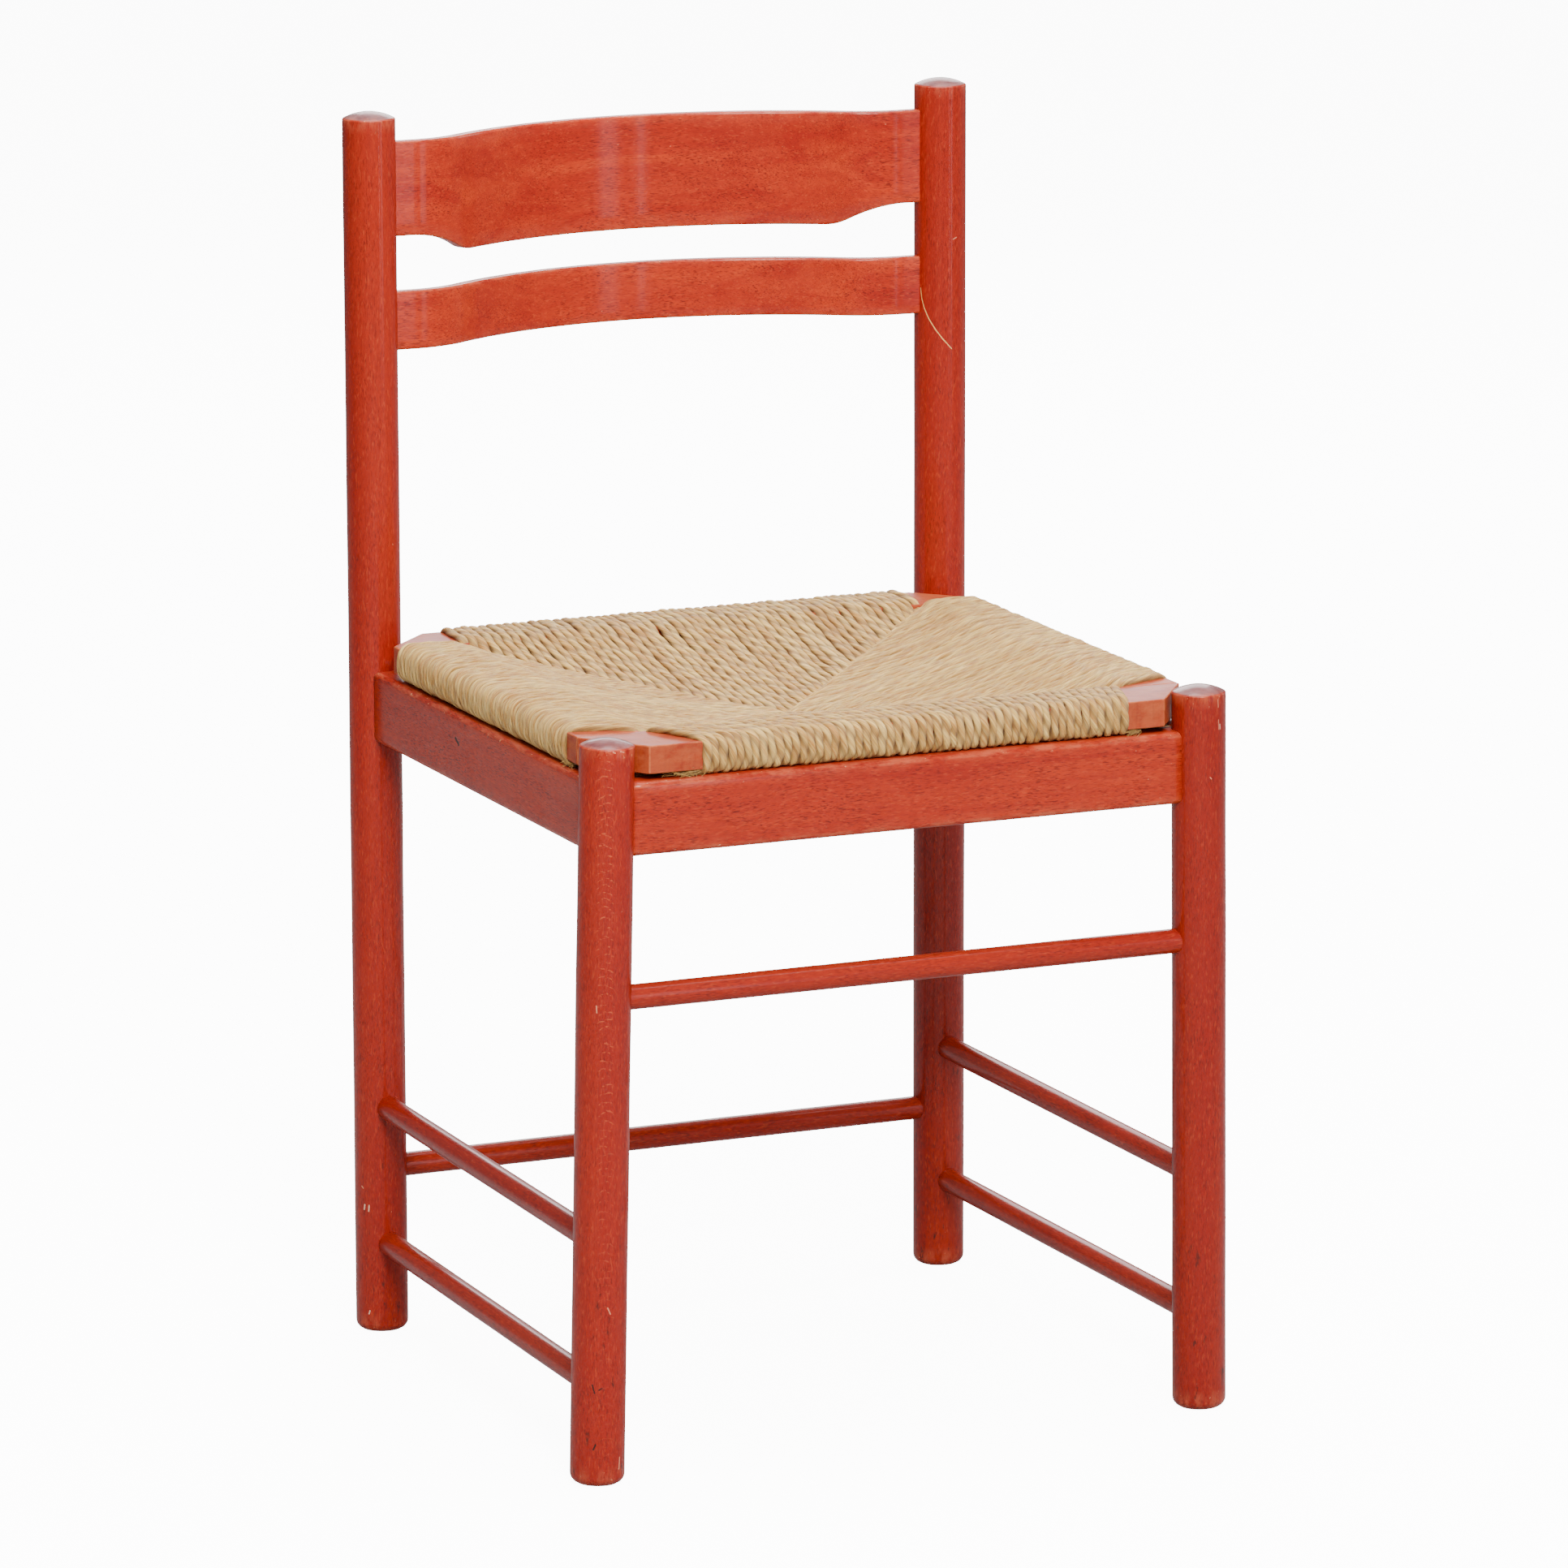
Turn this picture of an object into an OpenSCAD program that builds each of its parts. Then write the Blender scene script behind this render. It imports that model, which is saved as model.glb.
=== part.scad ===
// Side chair with a drop-in rush seat
// Round legs and posts, dowelled seat rails, six round stretchers, two bent back slats,
// and a loose seat: a four-piece beech frame wrapped in rush cord.
// Millimetres. The floor is z = 0, the chair faces -Y, and the middle of its outline on the
// floor is the origin. Everything is drawn centred between the legs and placed at the end.

/* [Overall] */
// Height of the rear posts above the floor
overall_h = 800; // [720:1:980]
// Side to side distance between leg centres at seat level
leg_span_x = 402; // [330:1:490]
// Front to back distance between leg centres at seat level
leg_span_y = 380; // [310:1:460]
// Height of the seat rails' top edge above the floor
rail_top_z = 440; // [370:1:530]

/* [Legs] */
// Diameter of the legs and posts
leg_d = 34; // [29:0.5:41]
// How far the front legs stand above the seat rails
front_leg_rise = 28; // [10:1:40]
// Outward lean of the front legs towards the floor, degrees
front_splay = 0.9; // [0:0.1:2]
// Backward lean of the rear posts towards the top, degrees
rear_rake = 0.75; // [0:0.05:2]
// Rise of the low domes on the tops
dome_h = 4.5; // [2:0.5:8]
// Rounding around each foot
foot_round = 6; // [3:0.5:8]
// How much of the rounded foot is sawn off level with the floor
foot_sink = 0.4; // [0.4:0.1:1]

/* [Seat rails] */
// Height of the seat rails
rail_h = 46; // [40:1:60]
// Thickness of the seat rails
rail_t = 20; // [16:0.5:25]
// Distance from a leg's centre out to the rails' outer face
rail_face = 7; // [3:0.5:10]
// Rounding along the rails' outer edges
rail_round = 4; // [2:0.5:6]
// Diameter of the rail dowels
dowel_d = 6; // [5:0.5:7]
// Depth of a rail dowel in the leg
dowel_in_leg = 14; // [10:0.5:18]
// Depth of a rail dowel in the rail
dowel_in_rail = 18; // [12:0.5:25]
// Height between the two dowels of one joint
dowel_pitch = 18; // [16:0.5:22]
// Height of the lowest front and rear dowels above the rails' lower edge
dowel_low = 8; // [6:0.5:10]

/* [Stretchers] */
// Diameter of the stretchers
stretcher_d = 15.6; // [13:0.1:19]
// Height of the front stretcher
front_stretcher_z = 305; // [200:1:360]
// Height of the rear stretcher
rear_stretcher_z = 108; // [80:1:130]
// Height of the upper side stretchers
side_upper_z = 151; // [130:1:190]
// Height of the lower side stretchers
side_lower_z = 60; // [40:1:80]
// How far a stretcher runs past a leg's centre
tenon_past = 3; // [0:0.5:6]

/* [Corner blocks] */
// Length of the glued blocks behind the front and rear rails, along those rails
block_len = 50; // [30:1:70]
// Thickness of the blocks
block_t = 18; // [12:1:22]
// Height of the blocks, whose tops are level with the rails
block_h = 30; // [20:1:40]

/* [Back slats] */
// Thickness of the bent slats
slat_t = 8.5; // [6:0.5:11]
// Depth of the bend, measured at the middle of a slat
slat_bow = 53; // [25:1:65]
// Straight part of a slat inside a post and beside it
slat_straight = 29; // [22:1:40]
// Share of the bend's radii taken by the long middle curve
slat_mid_share = 0.79; // [0.6:0.01:0.9]
// Distance from the top of the posts down to the top slat
top_slat_drop = 20; // [8:1:40]
// Height of the top slat
top_slat_h = 74.5; // [62:0.5:95]
// Height of the top slat where it enters a post
top_slat_end_h = 61; // [50:0.5:74]
// Length of the curved step under each end of the top slat
top_slat_step = 50.5; // [40:0.5:65]
// How much of that step beside the post is nearly level
top_slat_level = 10; // [4:1:20]
// Clear space between the two slats
slat_gap = 22; // [10:1:60]
// Height of the lower slat
lower_slat_h = 38; // [25:0.5:60]
// How far a slat stops short of a post's centre
slat_end_short = 2; // [0:0.5:5]

/* [Seat frame] */
// Width of the seat frame's pieces
frame_w = 42; // [34:0.5:50]
// Thickness of the seat frame's pieces
frame_t = 17.6; // [14:0.2:22]
// How far the seat frame reaches past the leg centres at the sides
frame_past_x = 4; // [0:0.5:7]
// How far the seat frame reaches past the front leg centres
frame_past_front = 5; // [0:0.5:7]
// How far the seat frame stays in front of the rear post centres
frame_short_rear = 11; // [8:0.5:16]
// Gap between a front corner cut and its leg
front_leg_gap = 1; // [0.6:0.1:3]
// Gap between a rear corner cut and its post
rear_post_gap = 10.5; // [4:0.5:14]
// Diameter of the seat frame's dowels
frame_dowel_d = 8; // [6:0.5:9]
// Depth of a seat frame dowel in the front or rear piece
frame_dowel_cross = 14; // [10:0.5:15]
// Depth of a seat frame dowel in a side piece
frame_dowel_side = 24; // [15:0.5:35]
// Distance of a joint's first dowel from the frame's inner edge
frame_dowel_edge = 9; // [7:0.5:11]
// Distance between the two dowels of a joint
frame_dowel_pitch = 14; // [12:0.5:16]

/* [Rush seat] */
// Thickness of one layer of pressed rush cord
cord_t = 4.7; // [3.5:0.1:6]
// Depth cut from the frame's outer edges so that the cord lies nearly level with the corners
relief_out = 2; // [0:0.1:3]
// Depth cut from the frame's top and bottom under the cord
relief_flat = 0.8; // [0:0.1:1.5]
// Bare wood at the front left corner, along the front
bare_front_left = 66; // [50:1:80]
// Bare wood at the front right corner, along the front
bare_front_right = 56; // [50:1:80]
// Bare wood at the rear corners, along the back
bare_rear = 45; // [43:1:60]
// Bare wood at the front corners, along the sides
bare_side = 58; // [52:1:75]
// How far the middle of the seat has sunk below the cord on the frame
seat_sag = 34; // [0:1:40]
// How far the middle of the underside hangs below the cord on the frame
under_sag = 25; // [0:1:40]
// Rounding of the cord roll around the frame's outer edges
roll_round = 9; // [6:0.5:11]
// Distance of each stuffing pad from its neighbours' seams
pad_margin = 12; // [8:1:20]

/* [Clearances] */
// Gap around glued dowels, tenons and shoulders
glue_gap = 0.1; // [0.05:0.05:0.2]
// Gap between the resting rush seat and the rails under it
seat_gap = 0.3; // [0.3:0.1:1]

/* [Hidden] */
$fn = 96;
// How far a cut runs on past the wood that it cuts
over = 1;
leg_r = leg_d / 2;
// A length to the nearest thousandth, so that curves that meet share one line exactly
function fine(v) = round(1000 * v) / 1000;
half_x = leg_span_x / 2;
half_y = leg_span_y / 2;
post_rise = overall_h - rail_top_z;
// Depth of the small flat left by the lathe at the middle of a dome
dome_flat = 0.05;
dome_rise = dome_h + dome_flat;
dome_r = (leg_r * leg_r + dome_rise * dome_rise) / (2 * dome_rise);
// How far below the rim the dome's cut begins, outside the wood
dome_ease = 0.5;

rail_mid = rail_face - rail_t / 2;
rail_z = rail_top_z - rail_h;
cross_rail_end = half_x + rail_face - rail_t - glue_gap;
leg_face = sqrt(leg_r * leg_r - rail_mid * rail_mid);
side_dowel_low = dowel_low + dowel_pitch / 2;

slat_len = half_x - slat_straight;
slat_angle = 2 * atan(slat_bow / slat_len);
slat_radii = fine(slat_len / sin(slat_angle));
slat_mid_r = fine(slat_mid_share * slat_radii);
slat_end_r = slat_radii - slat_mid_r;
top_slat_z = post_rise - top_slat_drop - top_slat_h;
lower_slat_z = top_slat_z - slat_gap - lower_slat_h;
step_h = top_slat_h - top_slat_end_h;
// Keeps the level end of the step a little below the crest of its curve
step_ease = 0.4;
step_run = top_slat_step - top_slat_level;
step_r = (step_run * step_run + step_h * step_h) / (2 * step_h);

slat_rear = half_y + (slat_bow + slat_t / 2) * cos(rear_rake)
    + (post_rise - top_slat_drop) * sin(rear_rake);
middle_y = (slat_rear - half_y - leg_r) / 2;

weave_z = rail_top_z + seat_gap;
frame_z = weave_z + cord_t - relief_flat;
frame_top = frame_z + frame_t;
weave_top = frame_top - relief_flat + cord_t;
frame_x = half_x + frame_past_x;
frame_front = -half_y - frame_past_front;
frame_rear = half_y - frame_short_rear;
open_x = frame_x - frame_w;
open_front = frame_front + frame_w;
open_rear = frame_rear - frame_w;
cord_out = cord_t - relief_out;
// Directions, in plan, of the corner cuts' normals, seen from the legs on the right
front_cut_angle = 143;
rear_cut_angle = 225;
wrap_left = bare_front_left - frame_x;
wrap_right = frame_x - bare_front_right;
wrap_rear = frame_x - bare_rear;
wrap_side = frame_front + bare_side;
// How far the rolls and the web run into each other
web_in = 1;
roll_in = cord_t - web_in;
pad_tip = 1.5 * pad_margin;
pad_clear = 1;
// Longer than any piece is wide, for cuts that go right through
far = 400;

// ---------- placing ----------

// Moves the chair so that the origin is under the middle of its outline.
module placed() {
    translate([0, -middle_y, 0]) children();
}

// Centre of a front leg at height z; s is -1 for left and 1 for right.
function front_axis(s, z) = [s * (half_x + (rail_top_z - z) * tan(front_splay)), -half_y, z];

// Centre of a rear post at height z.
function rear_axis(s, z) = [s * half_x, half_y - (rail_top_z - z) * tan(rear_rake), z];

// A point t beyond a, on the line from b through a.
function beyond(a, b, t) = a + (a - b) / norm(a - b) * t;

module at_front_leg(s) {
    translate([s * half_x, -half_y, rail_top_z]) rotate([0, -s * front_splay, 0]) children();
}

module in_back_plane() {
    translate([0, half_y, rail_top_z]) rotate([-rear_rake, 0, 0]) children();
}

module above_floor() {
    difference() {
        children();
        translate([-far, -far, -far]) cube([2 * far, 2 * far, far]);
    }
}

module rod(a, b, d) {
    v = b - a;
    translate(a)
        rotate([0, acos(v[2] / norm(v)), atan2(v[1], v[0])])
            cylinder(d = d, h = norm(v));
}

// ---------- legs ----------

// Half section of a leg: flat foot with a rounded edge, straight side.
module leg_section(length, grow) {
    r = leg_r + grow;
    difference() {
        square([r, length]);
        translate([r - foot_round, 0])
            difference() {
                translate([0, -over]) square([foot_round + over, foot_round + over]);
                translate([0, foot_round]) circle(r = foot_round);
            }
    }
}

// Everything above the low dome on top of a leg, whose rim is at z = 0.
module above_dome(grow) {
    difference() {
        translate([0, 0, -dome_ease]) cylinder(r = leg_r + grow + over, h = dome_h + 2 * over + dome_ease);
        translate([0, 0, dome_rise - dome_r]) sphere(r = dome_r);
    }
}

module leg_blank(lean, above, grow = 0) {
    below = rail_top_z / cos(lean) + foot_sink;
    top = above / cos(lean);
    difference() {
        translate([0, 0, -below]) rotate_extrude() leg_section(below + top, grow);
        translate([0, 0, top - dome_h]) above_dome(grow);
    }
}

module front_leg_blank(s, grow = 0) {
    above_floor() at_front_leg(s) leg_blank(front_splay, front_leg_rise, grow);
}

module rear_post_blank(s, grow = 0) {
    above_floor()
        in_back_plane()
            translate([s * half_x, 0, 0])
                leg_blank(rear_rake, post_rise, grow);
}

module front_leg(s) {
    difference() {
        front_leg_blank(s);
        front_rod(stretcher_d + 2 * glue_gap);
        side_rod(s, side_upper_z, stretcher_d + 2 * glue_gap);
        side_rod(s, side_lower_z, stretcher_d + 2 * glue_gap);
        corner_dowels(s, -1, dowel_d + 2 * glue_gap);
    }
}

module rear_post(s) {
    difference() {
        rear_post_blank(s);
        rear_rod(stretcher_d + 2 * glue_gap);
        side_rod(s, side_upper_z, stretcher_d + 2 * glue_gap);
        side_rod(s, side_lower_z, stretcher_d + 2 * glue_gap);
        corner_dowels(s, 1, dowel_d + 2 * glue_gap);
        in_back_plane() {
            mortise(s, top_slat_z + step_h - step_ease, top_slat_end_h + step_ease);
            mortise(s, lower_slat_z, lower_slat_h);
        }
    }
}

// ---------- seat rails ----------

// Section of a rail with its outer face at x = 0 and the wood towards +X.
module rail_section() {
    difference() {
        square([rail_t, rail_h]);
        for (up = [0, 1])
            translate([0, up * rail_h])
                mirror([0, up])
                    difference() {
                        translate([-over, -over]) square(rail_round + over);
                        translate([rail_round, rail_round]) circle(r = rail_round);
                    }
    }
}

// A rail along X at the front (s = -1) or rear (s = 1). It stops short of the side rails.
module cross_rail(s) {
    difference() {
        translate([-cross_rail_end, s * (half_y + rail_face), rail_z])
            rotate([90, 0, 90])
                mirror([s > 0 ? 1 : 0, 0])
                    linear_extrude(2 * cross_rail_end) rail_section();
        for (t = [-1, 1]) {
            if (s < 0) front_leg_blank(t, glue_gap);
            if (s > 0) rear_post_blank(t, glue_gap);
            corner_dowels(t, s, dowel_d + 2 * glue_gap);
        }
    }
}

// A rail along Y at the left (s = -1) or right (s = 1).
module side_rail(s) {
    difference() {
        translate([s * (half_x + rail_face), half_y, rail_z])
            rotate([90, 0, 0])
                mirror([s > 0 ? 1 : 0, 0])
                    linear_extrude(2 * half_y) rail_section();
        front_leg_blank(s, glue_gap);
        rear_post_blank(s, glue_gap);
        corner_dowels(s, -1, dowel_d + 2 * glue_gap);
        corner_dowels(s, 1, dowel_d + 2 * glue_gap);
    }
}

// The four dowels at one corner: two along X and, higher by half a pitch, two along Y.
module corner_dowels(sx, sy, d) {
    for (i = [0, 1]) {
        translate([sx * (half_x - leg_face + dowel_in_leg), sy * (half_y + rail_mid),
                   rail_z + dowel_low + i * dowel_pitch])
            rotate([0, -sx * 90, 0])
                cylinder(d = d, h = dowel_in_leg + dowel_in_rail);
        translate([sx * (half_x + rail_mid), sy * (half_y - leg_face + dowel_in_leg),
                   rail_z + side_dowel_low + i * dowel_pitch])
            rotate([sy * 90, 0, 0])
                cylinder(d = d, h = dowel_in_leg + dowel_in_rail);
    }
}

// A block glued into the corner between two rails, under the loose seat's frame.
module corner_block(sx, sy) {
    x = cross_rail_end - block_len;
    y = half_y + rail_face - rail_t - glue_gap - block_t;
    difference() {
        translate([sx > 0 ? x : -x - block_len, sy > 0 ? y : -y - block_t, rail_top_z - block_h])
            cube([block_len, block_t, block_h]);
        if (sy < 0) front_leg_blank(sx, glue_gap);
        if (sy > 0) rear_post_blank(sx, glue_gap);
    }
}

// ---------- stretchers ----------

module cross_rod(a, b, d) {
    rod(beyond(a, b, tenon_past), beyond(b, a, tenon_past), d);
}

module front_rod(d) {
    cross_rod(front_axis(-1, front_stretcher_z), front_axis(1, front_stretcher_z), d);
}

module rear_rod(d) {
    cross_rod(rear_axis(-1, rear_stretcher_z), rear_axis(1, rear_stretcher_z), d);
}

module side_rod(s, z, d) {
    cross_rod(front_axis(s, z), rear_axis(s, z), d);
}

// ---------- back slats ----------

// Plan of a curved strip of radius r about the origin, kept inside a three-point wedge.
module strip_plan(r, wedge) {
    intersection() {
        difference() {
            circle(r = r + slat_t / 2);
            circle(r = r - slat_t / 2);
        }
        polygon(wedge);
    }
}

// A bent board of height h in five lengths: the long middle curve is number 0, the reversed
// end curves -1 and 1, the straight ends -2 and 2. The straight ends lie on y = 0 and the
// middle is set back towards +Y.
module slat_length(i, h) {
    s = sign(i);
    // From the middle curve's centre towards an end curve's centre, and past it.
    x = 2 * slat_len;
    y = 2 * (slat_radii - slat_bow);
    if (i == 0)
        translate([0, slat_bow - slat_mid_r, 0])
            linear_extrude(h) strip_plan(slat_mid_r, [[0, 0], [x, y], [-x, y]]);
    if (abs(i) == 1)
        translate([s * slat_len, slat_end_r, 0])
            linear_extrude(h) strip_plan(slat_end_r, [[0, 0], [0, -far], [-s * x, -y]]);
    if (abs(i) == 2)
        translate([s > 0 ? slat_len : slat_end_short - half_x, -slat_t / 2, 0])
            cube([slat_straight - slat_end_short, slat_t, h]);
}

// The wood cut away under both ends of the top slat: a curved step that rises from the
// lower edge to its crest near the post, then runs on level into the post.
module step_cuts() {
    crest_x = half_x - leg_r - top_slat_level;
    level = leg_r + top_slat_level;
    for (s = [-1, 1]) {
        translate([s * crest_x, slat_bow + over, step_h - step_r])
            rotate([90, 0, 0])
                cylinder(r = step_r, h = slat_bow + slat_t);
        translate([s > 0 ? crest_x : -crest_x - level, -slat_t, -step_h])
            cube([level, 2 * slat_t, 2 * step_h - step_ease]);
    }
}

module mortise(s, z, h) {
    translate([s > 0 ? half_x - leg_r - over - slat_end_short : slat_end_short - half_x,
               -slat_t / 2 - glue_gap, z - glue_gap])
        cube([leg_r + over, slat_t + 2 * glue_gap, h + 2 * glue_gap]);
}

// ---------- seat frame ----------

// Everything outside the diagonal cuts that let the seat frame pass the legs.
module corner_cuts() {
    for (s = [-1, 1]) {
        translate([s * half_x, -half_y])
            mirror([s < 0 ? 1 : 0, 0])
                rotate(front_cut_angle)
                    translate([-far, -far]) square([far + leg_r + front_leg_gap, 2 * far]);
        translate([s * half_x, half_y])
            mirror([s < 0 ? 1 : 0, 0])
                rotate(rear_cut_angle)
                    translate([-far, -far]) square([far + leg_r + rear_post_gap, 2 * far]);
    }
}

module cross_piece_blank(front) {
    y0 = front ? frame_front : open_rear;
    left = front ? wrap_left : -wrap_rear;
    right = front ? wrap_right : wrap_rear;
    outer_y = front ? frame_front - over : frame_rear - relief_out;
    difference() {
        translate([0, 0, frame_z])
            linear_extrude(frame_t)
                difference() {
                    translate([-frame_x, y0]) square([2 * frame_x, frame_w]);
                    corner_cuts();
                }
        translate([left, outer_y, frame_z - over])
            cube([right - left, relief_out + over, frame_t + 2 * over]);
        for (z = [frame_z - over, frame_top - relief_flat])
            translate([left, y0 - over, z])
                cube([right - left, frame_w + 2 * over, relief_flat + over]);
    }
}

module side_piece_blank(s) {
    wrap_len = open_rear - wrap_side;
    difference() {
        translate([s > 0 ? open_x : -frame_x, open_front, frame_z])
            cube([frame_w, open_rear - open_front, frame_t]);
        translate([s > 0 ? frame_x - relief_out : -frame_x - over, wrap_side, frame_z - over])
            cube([relief_out + over, wrap_len + over, frame_t + 2 * over]);
        for (z = [frame_z - over, frame_top - relief_flat])
            translate([s > 0 ? open_x - over : -frame_x - over, wrap_side, z])
                cube([frame_w + 2 * over, wrap_len + over, relief_flat + over]);
    }
}

module seat_cross_piece(front) {
    difference() {
        cross_piece_blank(front);
        frame_dowels(frame_dowel_d + 2 * glue_gap);
    }
}

module seat_side_piece(s) {
    difference() {
        side_piece_blank(s);
        frame_dowels(frame_dowel_d + 2 * glue_gap);
    }
}

module frame_dowels(d) {
    for (s = [-1, 1], i = [0, 1]) {
        x = s * (open_x + frame_dowel_edge + i * frame_dowel_pitch);
        z = frame_z + frame_t / 2;
        translate([x, open_front - frame_dowel_cross, z])
            rotate([-90, 0, 0])
                cylinder(d = d, h = frame_dowel_cross + frame_dowel_side);
        translate([x, open_rear - frame_dowel_side, z])
            rotate([-90, 0, 0])
                cylinder(d = d, h = frame_dowel_cross + frame_dowel_side);
    }
}

// ---------- rush ----------

// Section of the cord rolled over one frame piece, outer edge at x = 0.
module roll_section() {
    w = cord_out + frame_w + roll_in;
    h = weave_top - weave_z;
    difference() {
        square([w, h]);
        for (up = [0, 1])
            translate([0, up * h])
                mirror([0, up])
                    difference() {
                        translate([-over, -over]) square(roll_round + over);
                        translate([roll_round, roll_round]) circle(r = roll_round);
                    }
    }
}

// The sunken web of cord between the rolls: a shallow upside-down pyramid, above and below.
module web() {
    ring = [
        [wrap_left, open_front + web_in],
        [wrap_right, open_front + web_in],
        [open_x - web_in, wrap_side],
        [open_x - web_in, open_rear - web_in],
        [-open_x + web_in, open_rear - web_in],
        [-open_x + web_in, wrap_side]
    ];
    n = len(ring);
    top = [for (p = ring) [p[0], p[1], weave_top]];
    low = [for (p = ring) [p[0], p[1], weave_z]];
    polyhedron(
        points = concat(top, low, [[0, 0, weave_top - seat_sag], [0, 0, weave_z - under_sag]]),
        faces = concat(
            [for (i = [0:n - 1]) [(i + 1) % n, i, 2 * n]],
            [for (i = [0:n - 1]) [n + i, n + (i + 1) % n, 2 * n + 1]],
            [for (i = [0:n - 1]) [i, (i + 1) % n, n + (i + 1) % n, n + i]]
        )
    );
}

// A stuffing pad between the upper and lower cord, from base corners a and b towards the middle.
// share is how far along its base lies from the middle to the web's edge.
module pad(a, b, tip, share, tip_share) {
    function top_z(f) = weave_top - seat_sag * (1 - f) - cord_t;
    function low_z(f) = weave_z - under_sag * (1 - f) + cord_t;
    polyhedron(
        points = [
            [a[0], a[1], low_z(share)], [b[0], b[1], low_z(share)],
            [tip[0], tip[1], low_z(tip_share)],
            [a[0], a[1], top_z(share)], [b[0], b[1], top_z(share)],
            [tip[0], tip[1], top_z(tip_share)]
        ],
        faces = [[0, 1, 2], [5, 4, 3], [0, 3, 4, 1], [1, 4, 5, 2], [2, 5, 3, 0]]
    );
}

module cross_pad(front) {
    edge = front ? open_front + web_in : open_rear - web_in;
    base = front ? edge + roll_in + pad_clear : edge - roll_in - pad_clear;
    tip = front ? -pad_tip : pad_tip;
    f = base / edge;
    l = f * (front ? wrap_left : -open_x) + pad_margin;
    r = f * (front ? wrap_right : open_x) - pad_margin;
    if (front) pad([l, base], [r, base], [0, tip], f, tip / edge);
    else pad([r, base], [l, base], [0, tip], f, tip / edge);
}

module side_pad(s) {
    edge = s * (open_x - web_in);
    base = edge - s * (roll_in + pad_clear);
    tip = s * pad_tip;
    f = base / edge;
    y0 = f * wrap_side + pad_margin;
    y1 = f * open_rear - pad_margin;
    if (s > 0) pad([base, y0], [base, y1], [tip, 0], f, tip / edge);
    else pad([base, y1], [base, y0], [tip, 0], f, tip / edge);
}

// ---------- nodes ----------

module front_leg_left() { color("firebrick") front_leg(-1); }
module front_leg_right() { color("firebrick") front_leg(1); }
module rear_post_left() { color("firebrick") rear_post(-1); }
module rear_post_right() { color("firebrick") rear_post(1); }

module front_rail() { color("firebrick") cross_rail(-1); }
module rear_rail() { color("firebrick") cross_rail(1); }
module left_rail() { color("firebrick") side_rail(-1); }
module right_rail() { color("firebrick") side_rail(1); }

module rail_dowels() {
    color("burlywood")
        for (sx = [-1, 1], sy = [-1, 1])
            corner_dowels(sx, sy, dowel_d);
}

module corner_blocks() {
    color("burlywood")
        for (sx = [-1, 1], sy = [-1, 1])
            corner_block(sx, sy);
}

module top_slat() {
    color("firebrick")
        in_back_plane()
            translate([0, 0, top_slat_z])
                for (i = [-2:2])
                    difference() {
                        slat_length(i, top_slat_h);
                        step_cuts();
                    }
}

module lower_slat() {
    color("firebrick")
        in_back_plane()
            translate([0, 0, lower_slat_z])
                for (i = [-2:2])
                    slat_length(i, lower_slat_h);
}

module front_stretcher() { color("firebrick") front_rod(stretcher_d); }
module rear_stretcher() { color("firebrick") rear_rod(stretcher_d); }
module left_upper_stretcher() { color("firebrick") side_rod(-1, side_upper_z, stretcher_d); }
module left_lower_stretcher() { color("firebrick") side_rod(-1, side_lower_z, stretcher_d); }
module right_upper_stretcher() { color("firebrick") side_rod(1, side_upper_z, stretcher_d); }
module right_lower_stretcher() { color("firebrick") side_rod(1, side_lower_z, stretcher_d); }

module seat_front_piece() { color("indianred") seat_cross_piece(true); }
module seat_rear_piece() { color("indianred") seat_cross_piece(false); }
module seat_left_piece() { color("indianred") seat_side_piece(-1); }
module seat_right_piece() { color("indianred") seat_side_piece(1); }
module seat_frame_dowels() { color("burlywood") frame_dowels(frame_dowel_d); }

module rush_weave() {
    color("tan")
        difference() {
            union() {
                translate([wrap_left, frame_front - cord_out, weave_z])
                    rotate([90, 0, 90])
                        linear_extrude(wrap_right - wrap_left) roll_section();
                translate([-wrap_rear, frame_rear + cord_out, weave_z])
                    rotate([90, 0, 90])
                        mirror([1, 0])
                            linear_extrude(2 * wrap_rear) roll_section();
                for (s = [-1, 1])
                    translate([s * (frame_x + cord_out), open_rear, weave_z])
                        rotate([90, 0, 0])
                            mirror([s > 0 ? 1 : 0, 0])
                                linear_extrude(open_rear - wrap_side) roll_section();
                web();
            }
            cross_piece_blank(true);
            cross_piece_blank(false);
            side_piece_blank(-1);
            side_piece_blank(1);
            cross_pad(true);
            cross_pad(false);
            side_pad(-1);
            side_pad(1);
        }
}

module stuffing_front() { color("wheat") cross_pad(true); }
module stuffing_rear() { color("wheat") cross_pad(false); }
module stuffing_left() { color("wheat") side_pad(-1); }
module stuffing_right() { color("wheat") side_pad(1); }

placed() front_leg_left();
placed() front_leg_right();
placed() rear_post_left();
placed() rear_post_right();
placed() front_rail();
placed() rear_rail();
placed() left_rail();
placed() right_rail();
placed() rail_dowels();
placed() corner_blocks();
placed() top_slat();
placed() lower_slat();
placed() front_stretcher();
placed() rear_stretcher();
placed() left_upper_stretcher();
placed() left_lower_stretcher();
placed() right_upper_stretcher();
placed() right_lower_stretcher();
placed() seat_front_piece();
placed() seat_rear_piece();
placed() seat_left_piece();
placed() seat_right_piece();
placed() seat_frame_dowels();
placed() rush_weave();
placed() stuffing_front();
placed() stuffing_rear();
placed() stuffing_left();
placed() stuffing_right();
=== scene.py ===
"""The looks of a side chair with a drop-in rush seat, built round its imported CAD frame.

Everything is in metres in the frame of the CAD model. Places come from the CAD nodes' boxes, and the
sizes that no box gives are named here in millimetres, as in the model's source.
"""

import math
from typing import NamedTuple

import bmesh
import bpy
import numpy as np
from mathutils import Matrix, Vector


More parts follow.
